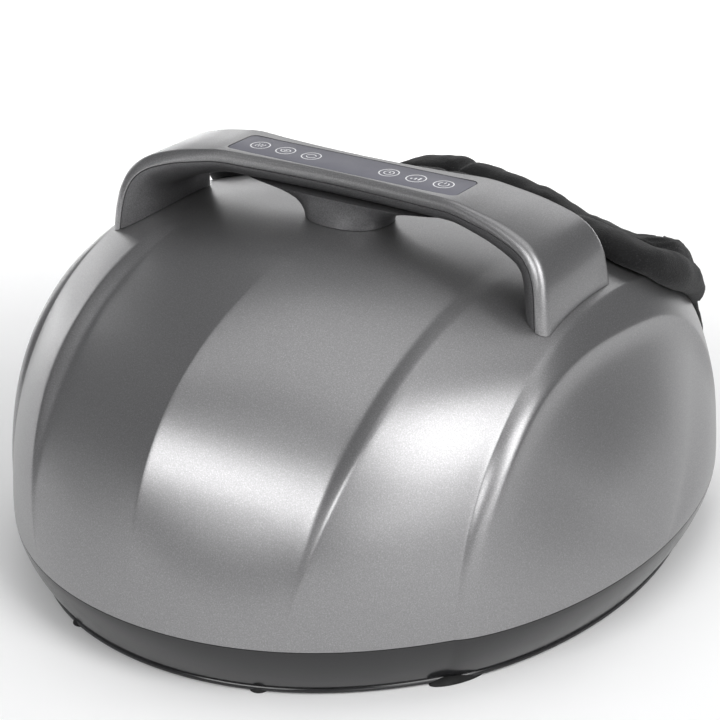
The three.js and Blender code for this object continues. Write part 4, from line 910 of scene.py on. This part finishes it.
def smooth_line(points, count):
    """An even walk along a Catmull-Rom curve through the points."""
    knots = np.array([2 * points[0] - points[1], *points, 2 * points[-1] - points[-2]])
    fine = []
    for a, b, c, d in zip(knots, knots[1:], knots[2:], knots[3:]):
        for t in np.arange(24) / 24:
            fine.append(0.5 * (2 * b + (c - a) * t + (2 * a - 5 * b + 4 * c - d) * t ** 2
                               + (3 * b - a - 3 * c + d) * t ** 3))
    fine = np.array([*fine, points[-1]])
    lengths = arc_lengths(fine)
    return sampled(np.linspace(0, lengths[-1], count), lengths, fine)


def handle_stations(count):
    right = np.array([(x, 0, HANDLE_HEIGHT - drop) for x, drop in HANDLE_PATH])
    line = smooth_line(np.concatenate([right, right[::-1] * (-1, 1, 1)]), count)
    ahead = np.gradient(line, axis=0)
    inward = np.stack([-ahead[:, 2], np.zeros(count), ahead[:, 0]], axis=-1)
    inward /= np.linalg.norm(inward, axis=1)[:, None]
    spread = np.minimum(np.abs(line[:, 0]) / FOOT_SPAN, 1)
    flare = mix(eased((HANDLE_HEIGHT - line[:, 2]) / FLARE_DROP), spread ** FLARE_POWER, FLARE_SHARE)
    front = MIDDLE_Y - mix(MIDDLE_FRONT, FOOT_FRONT, flare)
    back = MIDDLE_Y + mix(-MIDDLE_BACK, FOOT_BACK, flare)
    leg = eased((spread - LEG_START) / LEG_RUN)
    return line, inward, front, back, mix(HANDLE_EDGE, LEG_EDGE, leg), mix(HANDLE_DEPTH, LEG_DEPTH, leg)


def quarter(y, deep, radius, start):
    """A quarter turn of section points, from the start angle in quarters."""
    angles = QUARTER_TURN * (start + np.arange(6) / 5)
    return [(y + radius * math.cos(a), deep + radius * math.sin(a)) for a in angles]


def cover_section(front, back, r, _):
    w, low = HANDLE_WALL, HANDLE_BAND
    e, cut = LIP_EDGE, LIP_EDGE * LIP_CHAMFER
    outer = quarter(front + r, r, r, 2) + quarter(back - r, r, r, 3)
    lip_back = [(back, low - e), (back - cut, low - cut), (back - e, low), (back - w, low)]
    lip_front = [(front + w, low), (front + e, low), (front + cut, low - cut), (front, low - e)]
    return outer + lip_back + [(back - w, w), (front + w, w)] + lip_front


def liner_section(front, back, _, low):
    """A funnel: the liner sweeps from the rim of the cover to the underside in a long curve."""
    wall = HANDLE_WALL
    f, b = front + LINER_INSET, back - LINER_INSET
    top = HANDLE_BAND + SEAT_GAP
    sweep, turn = LINER_SWEEP * (b - f), -LINER_BACK_SWEEP * (b - f)
    angles = np.linspace(0, QUARTER_TURN, 13)

    def curve(start, reach, floor, along):
        return [(start + reach * (1 - math.cos(a)), mix(top, floor, math.sin(a))) for a in along]

    outer = curve(f, sweep, low, angles) + curve(b, turn, low, angles[::-1])
    inner_back = curve(b - wall, turn, low - wall, angles[3::3])
    inner_front = curve(f + wall, sweep, low - wall, angles[:2:-3])
    return outer + [(b - wall, top)] + inner_back + inner_front + [(f + wall, top)]


def swept_handle(name, section):
    rings = []
    for place, turn, *sizes in zip(*handle_stations(HANDLE_STATIONS)):
        rings.append([place + turn * deep + (0, y, 0) for y, deep in section(*sizes)])
    return tube(name, rings)


def panel_middle():
    return MIDDLE_Y - (MIDDLE_FRONT + MIDDLE_BACK) / 2 - PANEL_STEP


def panel_plate(grow, low, high):
    """A flat plate with rounded corners in the panel's place, larger all round by a gap."""
    bm = bmesh.new()
    size = Matrix.Diagonal((PANEL_LENGTH + 2 * grow, PANEL_WIDTH + 2 * grow, high - low, 1))
    place = Matrix.Translation((0, panel_middle(), (low + high) / 2))
    bmesh.ops.create_cube(bm, size=1, matrix=place @ size)
    upright = [e for e in bm.edges if abs(e.verts[0].co.z - e.verts[1].co.z) > (high - low) / 2]
    bevel(bm, upright, PANEL_CORNER + grow, 8)
    return bm


def bevel(bm, edges, width, segments):
    bmesh.ops.bevel(bm, geom=edges, offset=width, affect="EDGES", segments=segments, profile=0.5, material=-1)


def handle_cover(paint):
    obj = swept_handle("handle_paint", cover_section)
    recess = panel_plate(PANEL_GAP, HANDLE_HEIGHT - PANEL_THICKNESS - SEAT_GAP, HANDLE_HEIGHT + HANDLE_EDGE)
    carve(obj, [mesh_object("recess", recess), dome_cutter(SEAT_GAP)])
    finish_piece(obj, paint, ["handle_cover"], sharp=35)


def pedestal():
    low = SEAM + DOME_RISE - PEDESTAL_SINK
    high = HANDLE_HEIGHT - HANDLE_DEPTH + PEDESTAL_RISE
    rises, girths = zip(*PEDESTAL_SHARES)
    handle_half = (MIDDLE_FRONT - MIDDLE_BACK) / 2 - LINER_INSET
    angles = ring_angles(PEDESTAL_AROUND)
    rings = []
    for rise in np.linspace(0, 1, PEDESTAL_RINGS):
        long = PEDESTAL_LONG * np.interp(rise, rises, girths)
        short = mix(PEDESTAL_SHORT, handle_half, eased(rise * PEDESTAL_HASTE))
        squareness = mix(1.0, PEDESTAL_SQUARENESS, rise)
        rings.append(np.stack([long * bent(np.cos(angles), squareness),
                               MIDDLE_Y - PEDESTAL_REACH + short * bent(np.sin(angles), squareness),
                               np.full(PEDESTAL_AROUND, mix(low, high, rise))], axis=-1))
    return tube("pedestal", rings)


def handle_liner(grain):
    obj = swept_handle("liner_grain", liner_section)
    carve(obj, [pedestal()], "UNION")
    carve(obj, [dome_cutter(SEAT_GAP)])
    # The liner and the pedestal share a finish whose grey is darkened with painted shade.
    finish_piece(obj, grain, ["handle_liner"], sharp=35)


# Touch panel

def control_panel(film, ink):
    bm = panel_plate(0, HANDLE_HEIGHT - PANEL_THICKNESS, HANDLE_HEIGHT)
    rim = [e for e in bm.edges if all(v.co.z > HANDLE_HEIGHT - 10 * WELD for v in e.verts)]
    bevel(bm, rim, PANEL_BEVEL, 2)
    finish_piece(mesh_object("panel_film_plate", bm), film, ["control_panel"])
    icons = bmesh.new()
    places = [-x for x in ICON_PLACES[::-1]] + list(ICON_PLACES)
    signs = (heat_sign(), press_sign(), roll_sign(), timer_sign(), level_sign(), switch_sign())
    for x, sign in zip(places, signs):
        centre = Vector((x, panel_middle(), HANDLE_HEIGHT))
        ring = [ring_point(ICON_RADIUS - ICON_LINE / 2, a) for a in closed_angles(48)]
        stroke(icons, centre, ring, ICON_LINE)
        for line in sign:
            stroke(icons, centre, np.array(line) * SIGN_GRID, BAR_LINE if sign is signs[4] else SIGN_LINE)
    finish_piece(mesh_object("panel_icons", icons), ink)


def ring_point(radius, angle):
    return radius * math.cos(angle), radius * math.sin(angle)


def stroke(bm, centre, line, width):
    """A printed line on the film, through points round a centre."""
    line = np.array(line)
    ahead = np.gradient(line, axis=0)
    if np.allclose(line[0], line[-1]):
        ahead[0] = ahead[-1] = line[1] - line[-2]
    aside = np.stack([-ahead[:, 1], ahead[:, 0]], axis=-1)
    aside *= width / 2 / np.linalg.norm(aside, axis=1)[:, None]
    left, right = line + aside, line - aside
    for corners in zip(right[:-1], right[1:], left[1:], left[:-1]):
        bm.faces.new([bm.verts.new(centre + Vector((*corner, INK))) for corner in corners])


# The lines of each sign, on the drawing grid

def heat_sign():
    return [[(x + 2.5 * math.sin(3 * t), 13 * t) for t in np.linspace(-1, 1, 12)] for x in (-11, 0, 11)]


def press_sign():
    oval = [(17 * math.cos(a), 12 * math.sin(a)) for a in closed_angles(24)]
    return [oval, [(-7, 0), (7, 0)], [(0, -6), (0, 6)]]


def roll_sign():
    lines = []
    for start in (0, math.pi):
        tip = np.array(ring_point(15, start + 2.6))
        lines.append([ring_point(15, start + a) for a in np.linspace(0.3, 2.6, 12)])
        lines.append([tip + ring_point(7, start + 3.3), tip])
    return lines


def timer_sign():
    return [[ring_point(16, a) for a in closed_angles(24)], [(0, 10), (0, 0), (7, 0)]]


def level_sign():
    return [[(13 * i, -11), (13 * i, 4 + 7 * i)] for i in (-1, 0, 1)]


def switch_sign():
    return [[ring_point(16, a) for a in np.linspace(2.2, 7.2, 22)], [(0, 19), (0, 3)]]


# Cloth of the rear

def unit(vectors):
    return vectors / np.maximum(np.linalg.norm(vectors, axis=-1, keepdims=True), TINY)


def dome_tree():
    """The dome's surface, for finding the nearest point on it."""
    bm = dome_mesh()
    tree = BVHTree.FromBMesh(bm)
    bm.free()
    return tree


def under(tree, x, y):
    """The dome's point and its normal straight below a place."""
    return tree.ray_cast(Vector((x, MIDDLE_Y + y, 1)), DOWN)[:2]


def kept_off(points, tree, gap):
    """Moves the points that are nearer to the dome than the gap out onto the gap."""
    flat = points.reshape(-1, 3).copy()
    for i, point in enumerate(flat):
        place, normal, _, _ = tree.find_nearest(Vector(point))
        if (Vector(point) - place).dot(normal) < gap:
            flat[i] = place + normal * gap
    return flat.reshape(points.shape)


def laid_on(feet, normals, heights, tree):
    """Points raised by their heights from the dome below their feet, so a flat section follows its curve."""
    points = np.empty_like(feet)
    for i, row in enumerate(feet):
        for j, foot in enumerate(row):
            place, normal, _, _ = tree.find_nearest(Vector(foot))
            away = unit(mix(normals[i], np.array(normal), DRAPE_SHARE))
            points[i, j] = np.array(place) + away * max(heights[i, j], COLLAR_GAP)
    return points


def top_station(tree, x, y, *sizes):
    """A place of the collar on the dome, with the dome's mean normal round it."""
    round_it = [ring_point(NORMAL_REACH, angle) for angle in ring_angles(8)]
    normals = [under(tree, x + across, y + along)[1] for across, along in round_it]
    return [*under(tree, x, y)[0], *sum(normals, Vector()).normalized(), *sizes]


def side_station(degrees, shift, lean, *sizes):
    """A place of the collar on the ear's arch."""
    angle = math.radians(degrees)
    plane = np.array([EAR_PLANE])
    steps = (-ANGLE_STEP, 0, ANGLE_STEP)
    before, place, after = (arch(plane, EAR_FULLNESS, angle + step)[0] for step in steps)
    ahead = before - after
    turn = -1 if ahead[1] < 0 else 1
    upright = Vector((0, -turn * ahead[2], turn * ahead[1])).normalized()
    normal = (upright + Vector((lean, 0, 0))).normalized()
    return [*(place + (shift, MIDDLE_Y, SEAM)), *normal, *sizes]


def collar_stations(tree, count):
    """Even stations from the foot of the right side over the top to the foot of the left side."""
    right = np.array([side_station(*row) for row in COLLAR_SIDE[::-1]]
                     + [top_station(tree, *row) for row in COLLAR_TOP[::-1]])
    mirror = np.ones(right.shape[1])
    mirror[[0, 3]] = -1
    weight = np.ones(right.shape[1])
    weight[3:6] = NORMAL_WEIGHT
    line = smooth_line(np.concatenate([right, right[-2::-1] * mirror]) * weight, count) / weight
    line[:, 3:6] = unit(line[:, 3:6])
    sunk = 1 - SLACK_SHARE * np.exp(-((line[:, 0] - SLACK_PLACE) / SLACK_WIDTH) ** 2)
    line[:, 9:] *= sunk[:, None]
    return line


def lobe_reach(direction, origin, centre, halves):
    """Distance from an origin inside an ellipse to its edge, along each direction."""
    d, o = direction / halves, (origin - centre) / halves
    a, b, c = (d ** 2).sum(-1), (d * o).sum(-1), (o ** 2).sum(-1) - 1
    return (-b + np.sqrt(np.maximum(b * b - a * c, 0))) / a


def collar_folds(along, angle):
    """Depth of the folds at a distance along the collar from its middle and an angle round it."""
    top = np.clip(np.sin(angle), 0, 1)
    depth = np.zeros(np.broadcast(along, angle).shape)
    for place, slant, width, deep in COLLAR_FOLDS:
        depth += deep * np.exp(-((along - place - slant * (angle - 1.6)) / width) ** 2) * top
    corner = np.exp(-((np.abs(along) - COLLAR_CORNER) / 0.018) ** 2)
    behind = eased((angle - 1.1) / 0.35) * eased((3.0 - angle) / 0.5)
    ridges = 0.5 + 0.5 * np.cos(17 * angle + 60 * np.abs(along)) * np.cos(160 * along + 3 * angle)
    return depth + CORNER_FOLDS * corner * behind * ridges


def collar(cloth, tree):
    line = collar_stations(tree, COLLAR_ALONG)
    base, normal = line[:, :3], line[:, 3:6]
    front_reach, back_reach, hem_width, hem_height, puff_height = line[:, 6:].T
    front = unit(np.cross(normal, np.gradient(base, axis=0)))
    puff_half = (front_reach * PUFF_FRONT + back_reach) / 2

    def pairs(across, up):
        return np.stack([across, up], axis=-1)[:, None]

    angles = ring_angles(COLLAR_AROUND)
    direction = pairs(np.cos(angles), np.sin(angles)).swapaxes(0, 1)
    hem = pairs(front_reach - hem_width, hem_height * HEM_RISE)
    puff = pairs(front_reach * PUFF_FRONT - puff_half, puff_height * PUFF_RISE)
    origin = pairs((front_reach * (1 + PUFF_FRONT) - 2 * hem_width) / 2,
                   np.minimum(hem_height, puff_height) * HEM_RISE)
    reach = np.maximum(lobe_reach(direction, origin, hem, pairs(hem_width, hem_height)),
                       lobe_reach(direction, origin, puff, pairs(puff_half, puff_height)))
    along = arc_lengths(base)
    reach -= collar_folds(along[-1] / 2 - along[:, None], angles[None])
    flat = origin + direction * reach[..., None]
    points = laid_on(base[:, None] + front[:, None] * flat[..., :1], normal, flat[..., 1], tree)
    for row, away in zip(points, normal):
        for place in row:
            at = Vector(place)
            place += away * sum(noise.noise(at * scale) * depth for scale, depth in COLLAR_SWAY)
    steps = np.arange(COLLAR_ALONG)
    ends = np.maximum(np.clip(np.minimum(steps, steps[::-1]) / END_STEPS, 0, 1) ** 0.5, END_SHARE)
    centres = points.mean(axis=1, keepdims=True)
    points = centres + (points - centres) * ends[:, None, None]
    obj = tube("collar_padding", kept_off(points, tree, COLLAR_GAP))
    finish_piece(obj, cloth, ["opening_collar"], sharp=180)


def sleeve_section(ring, side, shrink, angles):
    foot_y, foot_z, top_y, top_z, half = ring
    length = math.hypot(top_y - foot_y, top_z - foot_z)
    across = bent(np.cos(angles), POCKET_SQUARENESS) * (half * POCKET_HALF - shrink)
    up = 0.5 + 0.5 * bent(np.sin(angles), POCKET_SQUARENESS) * (1 - 2 * shrink / length)
    return np.stack([side * FOOT_SPACING + across, MIDDLE_Y + mix(foot_y, top_y, up), mix(foot_z, top_z, up)],
                    axis=-1)


def foot_sleeve(cloth, side, name):
    """A cloth pocket, open to the rear and closed before the toes."""
    lines = smooth_line(np.array(SLEEVE_RINGS), SLEEVE_ALONG)
    rings = np.array([sleeve_section(ring, side, CLOTH / 2, ring_angles(SLEEVE_AROUND)) for ring in lines])
    crumple = np.array([[noise.noise(Vector(place * (25, 45, 25))) for place in ring] for ring in rings])
    middle = rings.mean(axis=1, keepdims=True)
    rings -= unit(rings - middle) * (SLEEVE_SLACK + SLEEVE_CRUMPLE * np.abs(crumple))[..., None]
    bm = grid_mesh(rings, closed=True)
    toe = [e for e in bm.edges if e.is_boundary and max(v.co.y for v in e.verts) < MIDDLE_Y]
    bmesh.ops.holes_fill(bm, edges=toe, sides=0)
    bmesh.ops.recalc_face_normals(bm, faces=bm.faces)
    area = sum(f.calc_area() for f in bm.faces)
    obj = mesh_object(name + "_sleeve_cloth", bm)
    thicken(obj, CLOTH / 2)
    finish_piece(obj, cloth, [name + "_foot_sleeve"], sharp=60)


def soft_block(name, low, high, corner, crown):
    """A stuffed block that fills a box: rounded in plan, with its faces crowned by a share of its height."""
    bm = bmesh.new()
    bmesh.ops.create_uvsphere(bm, u_segments=96, v_segments=48, radius=1)
    middle, half = (low + high) / 2, (high - low) / 2
    for vert in bm.verts:
        place = np.array(vert.co)
        level = math.hypot(place[0], place[1])
        plan = bent(place[:2] / max(level, WELD), corner) * level ** crown
        vert.co = middle + half * Vector((*plan, bent(place[2], crown)))
    bmesh.ops.recalc_face_normals(bm, faces=bm.faces)
    return mesh_object(name, bm)


def sole_pad(foam, name):
    """The foam under the sole, with soft hollows over the rollers."""
    low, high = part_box(name + "_sole_pad")
    pad = soft_block(name + "_pad_foam", low, high, *PAD_SHAPE)
    for vert in pad.data.vertices:
        if vert.co.z > (low.z + high.z) / 2:
            across = (vert.co.x - (low.x + high.x) / 2) / PAD_CHANNEL
            wave = 0.6 + 0.4 * math.cos(vert.co.y / PAD_PITCH * TURN)
            vert.co.z -= PAD_HOLLOW * math.exp(-across ** 2) * wave
    finish_piece(pad, foam, [name + "_sole_pad"], sharp=180)


def air_bag(film, name):
    """The air bag over the instep: two welded sheets, slack at rest."""
    low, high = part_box(name + "_airbag")
    bag = soft_block(name + "_bag_film", low, high, *BAG_SHAPE)
    for vert in bag.data.vertices:
        if vert.co.z > (low.z + high.z) / 2:
            vert.co.z -= BAG_CRUMPLE * abs(noise.noise(vert.co * 45))
    finish_piece(bag, film, [name + "_airbag"], sharp=180)


def soft_minimum(first, second, width):
    low = np.minimum(first, second)
    return low - width * np.log(np.exp((low - first) / width) + np.exp((low - second) / width))


class RearCloth:
    """The cover behind the collar, as heights over a plane that leans back from its top to its foot."""

    def __init__(self, tree):
        self.tree = tree
        self.top = rear_point(*SLANT_TOP)
        self.down = unit(rear_point(*SLANT_FOOT) - self.top)
        self.out = np.array((0, -self.down[2], self.down[1]))
        self.foot = self.descent(rear_point(BACK_REACH, SILL))
        foot_y, foot_z, top_y, top_z, _ = SLEEVE_RINGS[-1]
        mouth_top = self.descent(rear_point(top_y, top_z))
        mouth_foot = self.descent(rear_point(foot_y, foot_z))
        self.mouth_middle = (mouth_top + mouth_foot) / 2
        self.mouth_half = (mouth_foot - mouth_top) / 2

    def descent(self, point):
        return (point - self.top) @ self.down

    def at(self, x, q, height=0.0):
        """The point at a place across, a distance down the slant and a height over it."""
        return self.top + (x, 0, 0) + self.down * q + self.out * height

    def place(self, x, q):
        return self.at(x, q, self.height(x, q, self.cover(x, q)))

    def rim(self, x):
        """Distance down the slant at which the cloth leaves the rim of the shell."""
        return self.descent(np.array(under(self.tree, x, RIM_REACH + SEAT_GAP)[0]) - (0, 0, CLOTH))

    def cover(self, x, q):
        """Height of the dome's outermost face over the slant."""
        start, height = self.at(x, q), 0
        found = self.tree.ray_cast(Vector(start - self.out * COVER_SEARCH), Vector(self.out))[0]
        while found:
            height = (np.array(found) - start) @ self.out
            found = self.tree.ray_cast(found + Vector(self.out) * COVER_STEP, Vector(self.out))[0]
        return height

    def mouth(self, side, angle, grow=0.0):
        """A point on the edge of a foot hole: place across and distance down the slant."""
        across, along = bent(np.array(ring_point(1, angle)), POCKET_SQUARENESS)
        return (side * FOOT_SPACING + across * (POCKET_HALF * MOUTH_SHARE + grow),
                self.mouth_middle + along * (self.mouth_half + grow))

    def height(self, x, q, cover):
        """Height of the cloth: a scoop that rises to the shell's edges, with gathers round the foot holes."""
        edge = OPENING_HALF - abs(x)
        lift = (SCOOP_SIDE * max(0, 1 - edge / SCOOP_RUN) ** 2
                + SCOOP_FOOT * max(0, 1 - (self.foot - q) / SCOOP_RUN) ** 2)
        across = (abs(x) - FOOT_SPACING) / POCKET_HALF
        along = (q - self.mouth_middle) / self.mouth_half
        ring = (abs(across) ** MOUTH_ROUND + abs(along) ** MOUTH_ROUND) ** (1 / MOUTH_ROUND)
        turn = math.atan2(along, across)
        wave = math.sin(GATHER_COUNT * turn + 3 * math.sin(2 * turn + x * 20))
        gather = GATHER_DEPTH * math.exp(-((ring - 1) / GATHER_RUN) ** 2) * wave
        slack = (SAG_DEPTH * noise.noise(Vector((x * 22, q * 14, 3)))
                 + CREASE_DEPTH * noise.noise(Vector((x * 70, q * 50, 8))))
        bridge = math.exp(-(x / BRIDGE_WIDTH) ** 2) * math.sin(math.pi * min(max(q / self.foot, 0), 1))
        free = min(1, max(0, cover / FREE_COVER)) * min(1, edge / FREE_EDGE)
        loose = lift + (gather + slack + BRIDGE_LIFT * bridge) * free
        return float(soft_minimum(cover - COVER_GAP, loose, COVER_BLEND))


def rear_point(y, z):
    """A point of the middle plane, measured like the dome."""
    return np.array((0, MIDDLE_Y + y, z))


def corner_limit(z):
    """Half width of the rear opening at a height, with its rounded lower corners."""
    drop = max(0, SILL + OPENING_CORNER - z)
    return OPENING_HALF - OPENING_CORNER + math.sqrt(max(OPENING_CORNER ** 2 - drop ** 2, 0)) - SEAT_GAP


def rear_cloth(cloth, tree):
    form = RearCloth(tree)
    half = OPENING_HALF - SEAT_GAP
    grid = []
    for t in np.linspace(0, 1, COVER_ROWS):
        row = []
        for x in np.linspace(-1, 1, COVER_COLUMNS) * half:
            q = mix(form.rim(x), form.foot, t)
            row.append(form.place(x * corner_limit(form.place(x, q)[2]) / half, q))
        grid.append(row)
    bm = grid_mesh(np.array(grid))
    face_out(bm, Vector((0, MIDDLE_Y, 0.05)))
    sheet = mesh_object("rear_cloth", bm)
    thicken(sheet, CLOTH)
    cutters, hems = [], []
    for side, name in SIDES:
        edge = [form.mouth(side, angle) for angle in ring_angles(96)]
        cutters.append(tube("mouth", [[form.at(x, q, height) for x, q in edge] for height in MOUTH_CUT]))
        hems.append(mouth_hem(cloth, form, side, name))
    carve(sheet, cutters)
    finish_piece(sheet, cloth, ["rear_cover_cloth"], sharp=60)


def mouth_hem(cloth, form, side, name):
    """The rolled and gathered edge of a foot hole."""
    rings = []
    for angle in ring_angles(HEM_ALONG):
        centre = form.place(*form.mouth(side, angle, HEM_INSET))
        ends = [form.at(*form.mouth(side, angle + step, HEM_INSET)) for step in (-ANGLE_STEP, ANGLE_STEP)]
        aside = np.cross(form.out, unit(ends[1] - ends[0]))
        waves = math.sin(46 * angle) + noise.noise(Vector(centre) * 90)
        radius = HEM_RADIUS + HEM_WAVE * waves
        rings.append([centre + (aside * math.cos(a) + form.out * math.sin(a)) * radius
                      for a in ring_angles(HEM_AROUND)])
    bm = grid_mesh(np.array([*rings, rings[0]]), closed=True)
    bmesh.ops.remove_doubles(bm, verts=bm.verts, dist=WELD)
    face_out(bm)
    return finish_piece(mesh_object(name + "_mouth_hem", bm), cloth, sharp=180)


def main():
    make_camera()
    make_studio()
    paint = silver_paint()
    upper_shell(paint)
    base_tray(gloss_grey())
    rim_rubbers(plain_moulding("rest_rubber", (0.008, 0.008, 0.008), 0.85, grain=900))
    handle_cover(paint)
    handle_liner(liner_grey())
    control_panel(panel_film(), icon_ink())
    tree = dome_tree()
    cloth = black_cloth()
    collar(cloth, tree)
    rear_cloth(cloth, tree)
    foam = plain_moulding("pad_foam", (0.06, 0.06, 0.065), 0.95, grain=1500)
    film = plain_moulding("bag_film", (0.1, 0.14, 0.19), 0.5, grain=300)
    for side, name in SIDES:
        foot_sleeve(cloth, side, name)
        sole_pad(foam, name)
        air_bag(film, name)
    dress_inner_parts()


def dress_inner_parts():
    """Gives every piece of the frame that stays its own finish."""
    slot_of = {row["node"]: row["material_slot"] for row in frame["record"]["subparts"]}
    finishes = {slot: plain_moulding(slot, *numbers) for slot, numbers in INNER_FINISHES.items()}
    finishes["steel"] = turned_steel()
    for name, node in frame["nodes"].items():
        if slot_of[name] in finishes:
            node.data.materials.clear()
            node.data.materials.append(finishes[slot_of[name]])


main()
